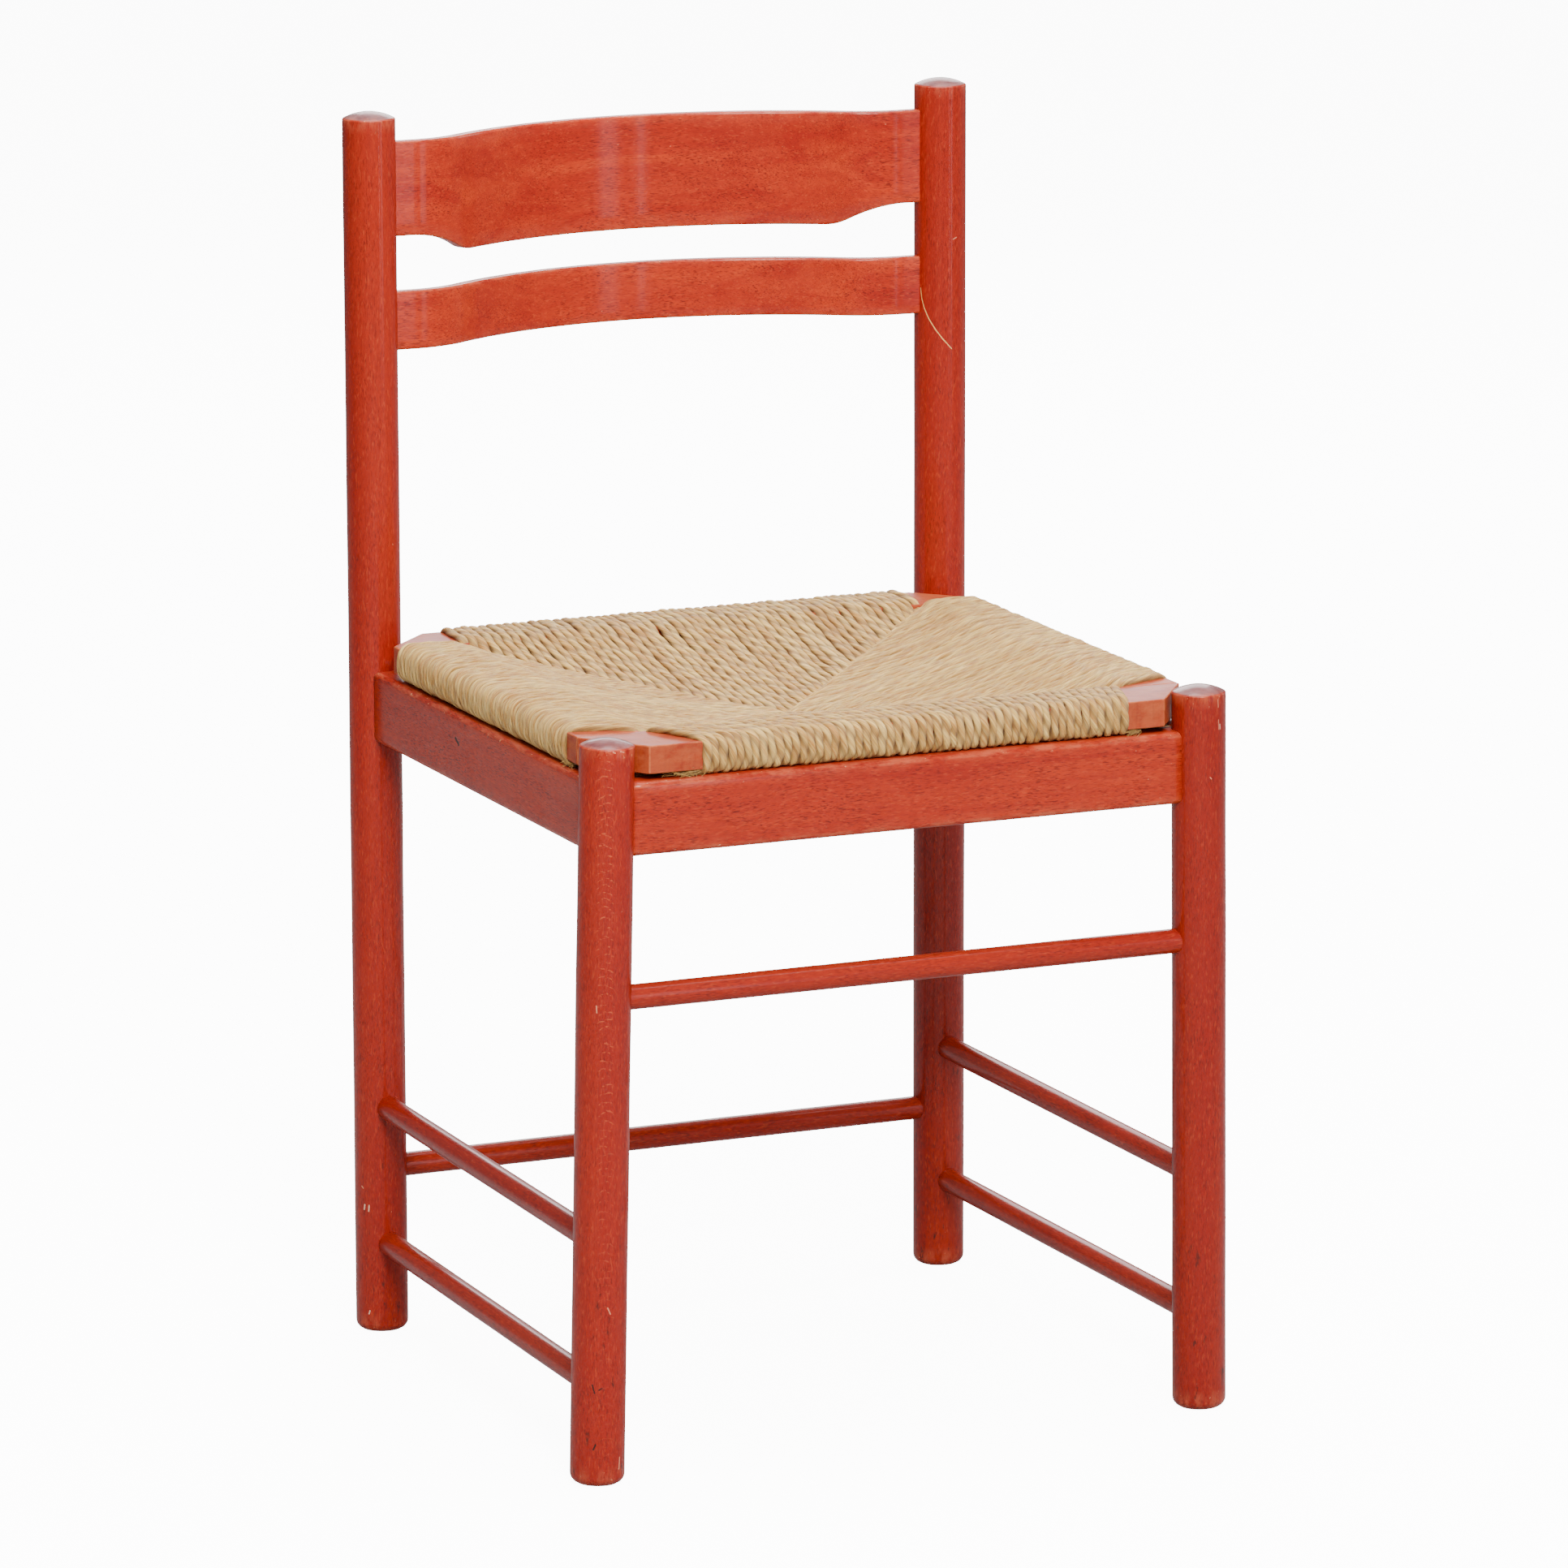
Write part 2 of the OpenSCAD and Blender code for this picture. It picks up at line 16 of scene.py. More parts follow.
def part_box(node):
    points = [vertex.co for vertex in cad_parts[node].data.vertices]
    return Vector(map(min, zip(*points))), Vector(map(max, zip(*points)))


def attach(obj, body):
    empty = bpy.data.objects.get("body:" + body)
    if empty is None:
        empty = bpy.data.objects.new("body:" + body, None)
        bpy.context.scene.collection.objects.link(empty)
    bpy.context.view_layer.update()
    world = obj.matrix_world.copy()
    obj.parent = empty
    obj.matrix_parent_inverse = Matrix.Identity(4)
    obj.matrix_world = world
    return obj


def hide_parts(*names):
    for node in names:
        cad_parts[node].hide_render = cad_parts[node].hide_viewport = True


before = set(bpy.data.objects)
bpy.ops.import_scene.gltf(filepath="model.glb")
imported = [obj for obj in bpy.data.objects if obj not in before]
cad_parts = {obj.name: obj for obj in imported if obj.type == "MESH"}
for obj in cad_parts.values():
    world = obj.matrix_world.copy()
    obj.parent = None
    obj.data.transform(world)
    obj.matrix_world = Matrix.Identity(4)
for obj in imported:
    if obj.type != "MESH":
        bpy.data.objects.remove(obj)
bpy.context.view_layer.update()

MM = 0.001
UP = np.array([0, 0, 1.0])

# ---------------------------------------------------------------- sizes that no box gives

LEG_R = 17 * MM
FOOT_ROUND = 6 * MM
DOME_H = 4.5 * MM
DOME_RIM = 0.45 * MM
STRETCHER_R = 7.8 * MM
STRETCHER_EASE = 1.2 * MM

RAIL_T = 20 * MM
RAIL_ROUND = 4 * MM
RAIL_INNER_ROUND = 1.2 * MM

# The slats: bowed back between two straight ends, with a step below the top one's ends.
SLAT_T = 8.5 * MM
SLAT_BOW = 53 * MM
SLAT_STRAIGHT = 29 * MM
SLAT_MID_SHARE = 0.79
SLAT_ROUND = 1.7 * MM
REAR_RAKE = math.radians(0.75)
TOP_SLAT_H = 74.5 * MM
TOP_SLAT_END_H = 61 * MM
TOP_SLAT_STEP = 50.5 * MM
TOP_SLAT_LEVEL = 10 * MM
STEP_EASE_R = 25 * MM
TOP_SLAT_DROP = 20 * MM
LOWER_SLAT_H = 38 * MM
SLAT_GAP = 22 * MM
# The step: an arc down from a level stretch, eased into the straight lower edge by a smaller one.
STEP_H = TOP_SLAT_H - TOP_SLAT_END_H
STEP_RUN = TOP_SLAT_STEP - TOP_SLAT_LEVEL
STEP_R = (STEP_RUN ** 2 + STEP_H ** 2) / (2 * STEP_H)
STEP_TURN = math.acos((STEP_R - STEP_H + STEP_EASE_R) / (STEP_R + STEP_EASE_R))
STEP_EASE_START = TOP_SLAT_LEVEL + STEP_R * math.sin(STEP_TURN)
STEP_END = STEP_EASE_START + STEP_EASE_R * math.sin(STEP_TURN)

# The loose seat's boards, and the cuts that let them pass the legs.
FRAME_W = 42 * MM
FRAME_RELIEF = 2 * MM
FRAME_ROUND = 1.6 * MM
FRONT_CUT = math.radians(143)
REAR_CUT = math.radians(225)
FRONT_CUT_GAP = 1 * MM
REAR_CUT_GAP = 10.5 * MM

# How far the weave dips in its middle, on top and underneath.
SEAT_SAG = 31.5 * MM
UNDER_SAG = 24 * MM
# How far each cord runs on, hidden under the next side's cords.
TUCK = 14 * MM
# How far the pads of loose rush spread past the modelled ones, to fill their pockets.
PAD_SPREAD = 9 * MM


# ---------------------------------------------------------------- places, from the CAD nodes

def node_box(name):
    """Lowest and highest corner of a CAD node as arrays."""
    low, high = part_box(name)
    return np.array(low), np.array(high)


def leg_axis(name):
    """Foot and top of a leg's centre line; its lean comes from the node's box."""
    low, high = node_box(name)
    if name.startswith("front"):
        side = -1 if "left" in name else 1
        top_x = (high[0] if side < 0 else low[0]) + side * LEG_R
        foot_x = (low[0] if side < 0 else high[0]) - side * LEG_R
        y = (low[1] + high[1]) / 2
        return np.array([foot_x, y, 0.0]), np.array([top_x, y, high[2]])
    x = (low[0] + high[0]) / 2
    return np.array([x, low[1] + LEG_R, 0.0]), np.array([x, high[1] - LEG_R, high[2]])


def stretcher_axis(name):
    """The two ends of a stretcher's centre line."""
    low, high = node_box(name)
    z = (low[2] + high[2]) / 2
    if name.startswith(("front", "rear")):
        y = (low[1] + high[1]) / 2
        return np.array([low[0], y, z]), np.array([high[0], y, z])
    side = -1 if name.startswith("left") else 1
    front_x = (low[0] if side < 0 else high[0]) - side * STRETCHER_R
    rear_x = (high[0] if side < 0 else low[0]) + side * STRETCHER_R
    return np.array([front_x, low[1], z]), np.array([rear_x, high[1], z])


RAIL_TOP = node_box("front_rail")[1][2]
POST_FOOT, POST_TOP = leg_axis("rear_post_right")
POST_X = POST_TOP[0]
POST_Y = POST_FOOT[1] + (POST_TOP[1] - POST_FOOT[1]) * RAIL_TOP / POST_TOP[2]
SLAT_ROOT_X = POST_X - LEG_R
FRONT_LEG_Y = leg_axis("front_leg_right")[0][1]
FRAME_LOW = np.minimum(node_box("seat_front_piece")[0], node_box("seat_rear_piece")[0])
FRAME_HIGH = np.maximum(node_box("seat_front_piece")[1], node_box("seat_rear_piece")[1])
WEAVE_LOW, WEAVE_HIGH = node_box("rush_weave")


# ---------------------------------------------------------------- camera and light

# The camera that the photograph was matched with: metres, degrees and millimetres of lens.
CAMERA_PLACE = (-2.2673, -5.0529, 1.6014)
CAMERA_HEADING = -24.288
CAMERA_DIP = 12.447
CAMERA_ROLL = 0.194
CAMERA_LENS = 204.02
SENSOR_WIDTH = 36

WORLD_GLOW = 0.35
WORLD_COLOUR = (1.0, 0.985, 0.97)
FLOOR_GLOW = 11.0
FLOOR_BOUNCE = 0.40
KEY_COLOUR = (1, 0.97, 0.93)
STRIP_COLOUR = (1, 0.9, 1)


def add_camera():
    """The camera at the photograph's viewing angle."""
    data = bpy.data.cameras.new("camera")
    data.lens = CAMERA_LENS
    data.sensor_width = SENSOR_WIDTH
    data.clip_end = 100
    camera = bpy.data.objects.new("camera", data)
    turn = (Matrix.Rotation(math.radians(CAMERA_HEADING), 4, "Z")
            @ Matrix.Rotation(math.radians(90 - CAMERA_DIP), 4, "X")
            @ Matrix.Rotation(math.radians(CAMERA_ROLL), 4, "Z"))
    camera.matrix_world = Matrix.Translation(CAMERA_PLACE) @ turn
    bpy.context.collection.objects.link(camera)
    bpy.context.scene.camera = camera


def add_area(name, place, aim, size, power, colour=(1, 1, 1)):
    """A rectangular light in metres and watts, turned towards a point."""
    data = bpy.data.lights.new(name, "AREA")
    data.shape = "RECTANGLE"
    data.size, data.size_y = size
    data.energy = power
    data.color = colour
    light = bpy.data.objects.new(name, data)
    light.location = place
    light.rotation_euler = (Vector(aim) - Vector(place)).to_track_quat("-Z", "Y").to_euler()
    bpy.context.collection.objects.link(light)


def add_lights():
    """A dim room, a soft key from the front, fills, and two strips that draw lines along the legs."""
    world = bpy.data.worlds.new("studio")
    world.use_nodes = True
    background = world.node_tree.nodes["Background"]
    background.inputs["Color"].default_value = (*WORLD_COLOUR, 1)
    background.inputs["Strength"].default_value = WORLD_GLOW
    bpy.context.scene.world = world
    add_area("key", (-0.9, -3.2, 3.0), (0, 0, 0.45), (1.8, 1.3), 330, KEY_COLOUR)
    add_area("top", (0.2, 0.1, 3.2), (0, 0, 0.4), (2.0, 2.0), 120)
    add_area("rear_fill", (1.6, 3.6, 2.2), (0, 0, 0.5), (1.8, 1.8), 80)
    add_area("side_fill", (4.0, 0.4, 1.6), (0, 0, 0.5), (1.6, 1.6), 45)
    add_area("wide_strip", (2.2, -3.6, 0.9), (0, 0, 0.6), (0.46, 2.4), 15, STRIP_COLOUR)
    add_area("thin_strip", (1.45, -3.95, 0.9), (0, 0, 0.6), (0.12, 2.4), 8, STRIP_COLOUR)


def add_studio(name, reach, height, floor_z, albedo, glow):
    """A pale floor, with walls and a ceiling if height isn't 0, seen only from inside; it may glow."""
    mesh = bpy.data.meshes.new(name)
    corners = [(-reach, -reach), (reach, -reach), (reach, reach), (-reach, reach)]
    points = [(x, y, floor_z) for x, y in corners]
    faces = [(0, 1, 2, 3)]
    if height:
        points += [(x, y, height) for x, y in corners]
        faces += [(4 + k, 4 + (k + 1) % 4, (k + 1) % 4, k) for k in range(4)]
        faces += [(7, 6, 5, 4)]
    mesh.from_pydata(points, [], faces)
    room = bpy.data.objects.new(name, mesh)
    bpy.context.collection.objects.link(room)
    paint = Paint(f"{name}_finish")
    speckle = paint.noise(paint.at, scale=3.0, detail=3)
    pale, paler = (albedo * 0.98,) * 3, (albedo,) * 3
    paint.surface(paint.ramp(speckle, [(0.3, pale), (0.7, paler)]), roughness=0.9, specular=0.0)
    paint.bsdf.inputs["Emission Color"].default_value = (1, 1, 1, 1)
    paint.bsdf.inputs["Emission Strength"].default_value = glow
    behind = paint.node("ShaderNodeNewGeometry").outputs["Backfacing"]
    clear = paint.node("ShaderNodeBsdfTransparent").outputs[0]
    either = paint.node("ShaderNodeMixShader")
    for socket, value in zip(either.inputs, (behind, paint.bsdf.outputs[0], clear)):
        paint.plug(socket, value)
    paint.plug(paint.tree.nodes["Material Output"].inputs["Surface"], either.outputs[0])
    mesh.materials.append(paint.material)
    return room


def add_floor():
    """The white floor that is seen, and just under it a greyer one that the light bounces off."""
    seen = add_studio("studio_floor", 30.0, 30.0, 0.0, 0.9, FLOOR_GLOW)
    seen.visible_diffuse = seen.visible_glossy = seen.visible_shadow = False
    bounce = add_studio("studio_bounce", 12.0, 0.0, -1 * MM, FLOOR_BOUNCE, 0.0)
    bounce.visible_camera = False


# ---------------------------------------------------------------- material building

class Paint:
    """Short names for the nodes that the materials are made of."""

    def __init__(self, name):
        self.material = bpy.data.materials.new(name)
        self.material.use_nodes = True
        self.tree = self.material.node_tree
        self.bsdf = self.tree.nodes["Principled BSDF"]
        self.at = self.tree.nodes.new("ShaderNodeTexCoord").outputs["Object"]

    def node(self, kind, **settings):
        """A new node with those settings."""
        made = self.tree.nodes.new(kind)
        for key, value in settings.items():
            setattr(made, key, value)
        return made

    def plug(self, socket, value):
        """Links another node's output to a socket, or sets it to a number or colour."""
        if isinstance(value, bpy.types.NodeSocket):
            self.tree.links.new(value, socket)
        else:
            socket.default_value = value

    def stretched(self, vector, scale, offset=(0, 0, 0)):
        made = self.node("ShaderNodeMapping")
        self.plug(made.inputs["Vector"], vector)
        made.inputs["Scale"].default_value = scale
        made.inputs["Location"].default_value = offset
        return made.outputs[0]

    def noise(self, vector, scale=1.0, detail=2.0, rough=0.5, distort=0.0):
        made = self.node("ShaderNodeTexNoise")
        self.plug(made.inputs["Vector"], vector)
        made.inputs["Scale"].default_value = scale
        made.inputs["Detail"].default_value = detail
        made.inputs["Roughness"].default_value = rough
        made.inputs["Distortion"].default_value = distort
        return made.outputs["Fac"]

    def streaks(self, vector, scale, offset=(0, 0, 0), detail=2.0, rough=0.5, distort=0.0):
        """Noise with a different scale along each axis."""
        return self.noise(self.stretched(vector, scale, offset), 1.0, detail, rough, distort)

    def ramp(self, value, stops):
        """Blends between the colours of two (place, colour) stops."""
        made = self.node("ShaderNodeValToRGB")
        self.plug(made.inputs[0], value)
        for element, (place, colour) in zip(made.color_ramp.elements, stops):
            element.position = place
            element.color = (*colour, 1)
        return made.outputs[0]

    def math(self, kind, a, b=0.0, c=0.0):
        made = self.node("ShaderNodeMath", operation=kind)
        for socket, value in zip(made.inputs, (a, b, c)):
            self.plug(socket, value)
        return made.outputs[0]

    def vector(self, kind, a, b=None, scale=None):
        made = self.node("ShaderNodeVectorMath", operation=kind)
        self.plug(made.inputs[0], a)
        if b is not None:
            self.plug(made.inputs[1], b)
        if scale is not None:
            self.plug(made.inputs["Scale"], scale)
        return made.outputs["Value" if kind in ("DOT_PRODUCT", "DISTANCE") else "Vector"]

    def span(self, value, low, high, to_low=0.0, to_high=1.0):
        """value from low..high carried to to_low..to_high, and held at the ends."""
        made = self.node("ShaderNodeMapRange", clamp=True)
        for socket, number in zip(made.inputs, (value, low, high, to_low, to_high)):
            self.plug(socket, number)
        return made.outputs[0]

    def times(self, first, *others):
        """The product of several sockets or numbers."""
        for other in others:
            first = self.math("MULTIPLY", first, other)
        return first

    def split(self, vector):
        """A vector's X, Y and Z."""
        made = self.node("ShaderNodeSeparateXYZ")
        self.plug(made.inputs[0], vector)
        return made.outputs

    def mix(self, share, a, b):
        made = self.node("ShaderNodeMix", data_type="RGBA")
        self.plug(made.inputs[0], share)
        for socket, value in zip(made.inputs[6:8], (a, b)):
            self.plug(socket, (*value, 1) if isinstance(value, tuple) else value)
        return made.outputs[2]

    def attribute(self, name, output="Fac"):
        return self.node("ShaderNodeAttribute", attribute_name=name).outputs[output]

    def bump(self, height, strength, distance):
        made = self.node("ShaderNodeBump")
        made.inputs["Strength"].default_value = strength
        made.inputs["Distance"].default_value = distance
        self.plug(made.inputs["Height"], height)
        self.plug(self.bsdf.inputs["Normal"], made.outputs[0])

    def surface(self, colour, roughness, coat=0.0, coat_roughness=0.1, specular=0.5, sheen=0.0):
        self.plug(self.bsdf.inputs["Base Color"], colour)
        self.plug(self.bsdf.inputs["Roughness"], roughness)
        self.bsdf.inputs["Coat Weight"].default_value = coat
        self.bsdf.inputs["Coat Roughness"].default_value = coat_roughness
        self.bsdf.inputs["Specular IOR Level"].default_value = specular
        self.bsdf.inputs["Sheen Weight"].default_value = sheen


# ---------------------------------------------------------------- materials

def along_grain(paint, axis):
    """Object coordinates turned so that X runs along the grain."""
    parts = paint.split(paint.at)
    join = paint.node("ShaderNodeCombineXYZ")
    order = {"X": "XYZ", "Y": "YZX", "Z": "ZXY"}[axis]
    for socket, letter in zip(join.inputs, order):
        paint.plug(socket, parts[letter])
    return join.outputs[0]


def capsule(paint, a, b, radius):
    """1 inside a ragged streak of that radius from a to b, fading to 0 outside it."""
    a, b = Vector(a), Vector(b)
    run = b - a
    from_a = paint.vector("SUBTRACT", paint.at, tuple(a))
    share = paint.math("DIVIDE", paint.vector("DOT_PRODUCT", from_a, tuple(run)), run.length_squared)
    share = paint.math("MINIMUM", paint.math("MAXIMUM", share, 0.0), 1.0)
    nearest = paint.vector("SCALE", tuple(run), scale=share)
    away = paint.vector("DISTANCE", from_a, nearest)
    wobble = paint.noise(paint.at, scale=0.9 / radius, detail=3, rough=0.7)
    edge = paint.math("MULTIPLY_ADD", wobble, radius, radius / 2)
    return paint.span(paint.math("DIVIDE", away, edge), 0.75, 1.15, 1.0, 0.0)


def arched_figure(paint, middle):
    """A stack of broken pale arches up a leg's face, as a board's grain shows on a turned surface."""
    pitch, arch, half_width = 5.2 * MM, 90.0, 6 * MM
    facing_turn = math.radians(-24)
    across = (math.cos(facing_turn), math.sin(facing_turn), 0)
    from_middle = paint.vector("SUBTRACT", paint.at, middle)
    aside = paint.vector("DOT_PRODUCT", from_middle, across)
    height = paint.split(paint.at)["Z"]
    wander = paint.streaks(paint.at, (70, 70, 45), detail=3)
    drop = paint.math("MULTIPLY_ADD", wander, 12 * MM, paint.times(aside, aside, arch))
    level = paint.math("ADD", height, drop)
    wave = paint.math("SINE", paint.times(level, 2 * math.pi / pitch))
    crest = paint.span(wave, 0.72, 0.95)
    near = paint.span(paint.math("ABSOLUTE", aside), half_width * 0.6, half_width, 1, 0)
    high = paint.span(height, 0.10, 0.36, 0.25, 1.0)
    broken = paint.span(paint.streaks(paint.at, (420, 420, 900), detail=2), 0.47, 0.60)
    outward = paint.vector("DOT_PRODUCT", from_middle, (-0.41, -0.91, 0))
    front = paint.span(outward, 0.0, 4 * MM)
    return paint.times(crest, near, high, broken, front, 0.62)


# The stain where it is plain, where the wood shows through, and where it gathers.
STAIN_RED = (0.262, 0.0092, 0.0040)
STAIN_ORANGE = (0.420, 0.0330, 0.0062)
STAIN_CRIMSON = (0.160, 0.0075, 0.0060)
FLECK = (0.070, 0.006, 0.005)
PALE_FLECK = (0.50, 0.060, 0.016)
ARCH = (0.52, 0.085, 0.028)
END_GRAIN = (0.120, 0.030, 0.032)
# Painted reflection: the pale grey-pink mottled over the domes' dark end grain stands for the pale room
# reflected in them.
END_GRAIN_PAINTED_SHEEN = (0.235, 0.115, 0.115)
WORN_THIN = (0.50, 0.105, 0.045)
EDGE_CHIP = (0.55, 0.20, 0.10)
SCUFF = (0.48, 0.13, 0.07)
GRIME = (0.030, 0.008, 0.006)


def deeper(colour, depth):
    """A colour with its light multiplied by depth."""
    return tuple(part * depth for part in colour)


def stain(paint, grain, shift, depth, warm):
    """The cloudy red of the stain, leaning to orange by warm."""
    warp = paint.streaks(grain, (3, 14, 14), shift, detail=2)
    bands = paint.streaks(grain, (2.2, 55, 55), shift, detail=4, rough=0.6, distort=0.6)
    blotch = paint.streaks(grain, (7, 22, 22), shift, detail=3)
    cloth = paint.streaks(grain, (90, 420, 420), shift, detail=3, rough=0.65)
    orange, crimson = deeper(STAIN_ORANGE, depth), deeper(STAIN_CRIMSON, depth)
    tone = paint.mix(paint.span(bands, 0.35, 0.68, 0.1 * warm, warm), deeper(STAIN_RED, depth), orange)
    tone = paint.mix(paint.span(blotch, 0.50, 0.78, 0, 0.22), tone, crimson)
    tone = paint.mix(paint.span(warp, 0.35, 0.75, 0.0, 0.18 * warm), tone, orange)
    return paint.mix(paint.span(cloth, 0.3, 0.7, 0.34, 0), tone, crimson)


def beech_flecks(paint, tone, grain, shift, seed, depth, share):
    """The short flecks of beech: thin dark and pale dashes along the grain, in rows that bend a little."""
    bend = paint.streaks(grain, (14, 30, 30), shift, detail=2)
    bending = paint.vector("SCALE", (0, 1.0, 0.7), scale=paint.times(bend, 0.012))
    bent = paint.vector("ADD", grain, bending)
    flecks = paint.streaks(bent, (210, 1900, 1900), shift, detail=1.0, rough=0.5)
    where = paint.span(paint.streaks(grain, (25, 60, 60), shift, detail=2), 0.35, 0.6, 0.45, 1)
    fleck = paint.times(paint.span(flecks, 0.55, 0.63), where, share)
    tone = paint.mix(fleck, tone, deeper(FLECK, depth))
    lights = paint.streaks(bent, (190, 900, 900), (seed, 3, 7), detail=1.5, rough=0.5)
    return paint.mix(paint.span(lights, 0.58, 0.70, 0, 0.30), tone, deeper(PALE_FLECK, depth))


def worn_places(paint, tone, grain, shift, seed):
    """End grain mottled with a pale grey-pink painted reflection, edges rubbed thin and chipped, and
    sparse scuffs over the whole surface.
    """
    end_grain_mottle = paint.streaks(paint.at, (90, 90, 90), shift, detail=3)
    end_grain_and_sheen = paint.mix(paint.span(end_grain_mottle, 0.3, 0.7), END_GRAIN, END_GRAIN_PAINTED_SHEEN)
    tone = paint.mix(paint.attribute("endgrain"), tone, end_grain_and_sheen)
    worn = paint.attribute("edge")
    rubbed = paint.streaks(grain, (60, 160, 160), shift, detail=4, rough=0.7)
    tone = paint.mix(paint.times(worn, paint.span(rubbed, 0.42, 0.62), 0.55), tone, WORN_THIN)
    chips = paint.streaks(grain, (210, 330, 330), shift, detail=3, rough=0.7)
    tone = paint.mix(paint.times(worn, paint.span(chips, 0.665, 0.69)), tone, EDGE_CHIP)
    specks = paint.streaks(grain, (230, 400, 400), (seed, 0, 0), detail=2, rough=0.6)
    return paint.mix(paint.span(specks, 0.765, 0.80, 0, 0.7), tone, SCUFF)


def grimy(paint, tone, grain, shift, dirt):
    """Dark spots towards the floor."""
    low = paint.span(paint.split(paint.at)["Z"], 0.0, 0.30, 1, 0)
    grime = paint.streaks(grain, (70, 210, 210), shift, detail=4, rough=0.7)
    return paint.mix(paint.times(paint.span(grime, 0.60, 0.70), low, dirt), tone, GRIME)


def lacquer(paint, tone, grain, shift, bare):
    """Smeary gloss over a lightly rippled, open-pored surface, missing where it is bare."""
    smear = paint.streaks(grain, (18, 50, 50), shift, detail=3, rough=0.6)
    gloss = paint.math("MAXIMUM", paint.span(smear, 0.3, 0.7, 0.36, 0.50), paint.times(bare, 0.7))
    pores = paint.streaks(grain, (120, 900, 900), shift, detail=3, rough=0.6)
    ripple = paint.streaks(grain, (9, 60, 60), shift, detail=2)
    height = paint.math("MULTIPLY_ADD", ripple, 2.5, pores)
    height = paint.math("SUBTRACT", height, paint.times(bare, 1.5))
    paint.bump(height, 0.12, 0.4 * MM)
    paint.surface(tone, gloss, coat=0.30, coat_roughness=0.12, specular=0.10)


def stained_beech(name, axis, seed, depth=1.0, marks=(), dirt=0.0, warm=1.0, figure=None):
    """Red-stained, lacquered beech with its grain along an axis.

    marks are (start, end, radius, colour) streaks, such as chips and scratches. warm is how far
    the stain leans from crimson to orange. figure is the middle of a stack of pale arches.
    """
    paint = Paint(name)
    grain = along_grain(paint, axis)
    shift = (seed * 1.37, seed * 0.71, seed * 2.13)
    tone = stain(paint, grain, shift, depth, warm)
    tone = beech_flecks(paint, tone, grain, shift, seed, depth, 0.72 if warm >= 1 else 0.52)
    if figure:
        tone = paint.mix(arched_figure(paint, figure), tone, ARCH)
    tone = worn_places(paint, tone, grain, shift, seed)
    if dirt:
        tone = grimy(paint, tone, grain, shift, dirt)
    bare = 0.0
    for start, end, radius, colour in marks:
        mask = capsule(paint, start, end, radius)
        tone = paint.mix(mask, tone, colour)
        bare = paint.math("MAXIMUM", mask, bare)
    lacquer(paint, tone, grain, shift, bare)
    return paint.material


SEAT_RED = (0.225, 0.018, 0.007)
SEAT_ORANGE = (0.36, 0.052, 0.013)
SEAT_PALE = (0.42, 0.090, 0.028)
SEAT_RIB = (0.17, 0.018, 0.009)
SEAT_RUBBED = (0.52, 0.155, 0.055)
SEAT_FLECK = (0.12, 0.020, 0.012)


def seat_beech(name, axis, seed):
    """The paler, orange-red wood of the loose seat's frame."""
    paint = Paint(name)
    grain = along_grain(paint, axis)
    shift = (seed * 0.83, seed * 1.91, seed * 0.47)
    bands = paint.streaks(grain, (6, 70, 70), shift, detail=4, rough=0.6, distort=0.8)
    mottle = paint.streaks(grain, (35, 60, 60), shift, detail=4, rough=0.65)
    ribs = paint.streaks(grain, (520, 40, 40), shift, detail=3, rough=0.6)
    tone = paint.mix(paint.span(bands, 0.32, 0.7), SEAT_RED, SEAT_ORANGE)
    tone = paint.mix(paint.span(mottle, 0.46, 0.72, 0, 0.55), tone, SEAT_PALE)
    tone = paint.mix(paint.span(ribs, 0.5, 0.72, 0, 0.50), tone, SEAT_RIB)
    worn = paint.attribute("edge")
    rubbed = paint.streaks(grain, (80, 120, 120), shift, detail=4, rough=0.7)
    thin = paint.times(worn, paint.span(rubbed, 0.35, 0.55), 0.60)
    tone = paint.mix(thin, tone, SEAT_RUBBED)
    flecks = paint.streaks(grain, (260, 1300, 1300), shift, detail=1.5)
    tone = paint.mix(paint.span(flecks, 0.61, 0.70, 0, 0.35), tone, SEAT_FLECK)
    pores = paint.streaks(grain, (140, 900, 900), shift, detail=3, rough=0.6)
    paint.bump(pores, 0.15, 0.3 * MM)
    gloss = paint.span(mottle, 0.3, 0.7, 0.40, 0.55)
    paint.surface(tone, gloss, coat=0.12, coat_roughness=0.25, specular=0.12)
    return paint.material


def plain_beech():
    """The bare wood of the dowels and corner blocks."""
    paint = Paint("bare_beech_dowels")
    fibres = paint.streaks(paint.at, (500, 500, 500), detail=4, rough=0.6)
    flecks = paint.streaks(paint.at, (900, 900, 300), detail=2)
    tone = paint.mix(paint.span(fibres, 0.35, 0.65), (0.55, 0.33, 0.17), (0.68, 0.45, 0.26))
    tone = paint.mix(paint.span(flecks, 0.6, 0.7, 0, 0.5), tone, (0.30, 0.16, 0.08))
    paint.bump(fibres, 0.2, 0.2 * MM)
    paint.surface(tone, paint.span(fibres, 0.3, 0.7, 0.55, 0.7))
    return paint.material


RUSH_STRAW = (0.60, 0.335, 0.066)
RUSH_PALE = (0.88, 0.60, 0.19)
RUSH_PALEST = (0.92, 0.72, 0.30)
RUSH_TAN = (0.42, 0.180, 0.030)
RUSH_BROWN = (0.52, 0.205, 0.036)
# The umber is both the rush's own dark hairs and the painted shade in the cords' valleys, sides and ends.
RUSH_UMBER_AND_SHADE = (0.105, 0.040, 0.009)
RUSH_GREEN = (0.38, 0.255, 0.046)
MAT_PALE = (0.93, 0.72, 0.29)
MAT_BROWN = (0.40, 0.175, 0.034)


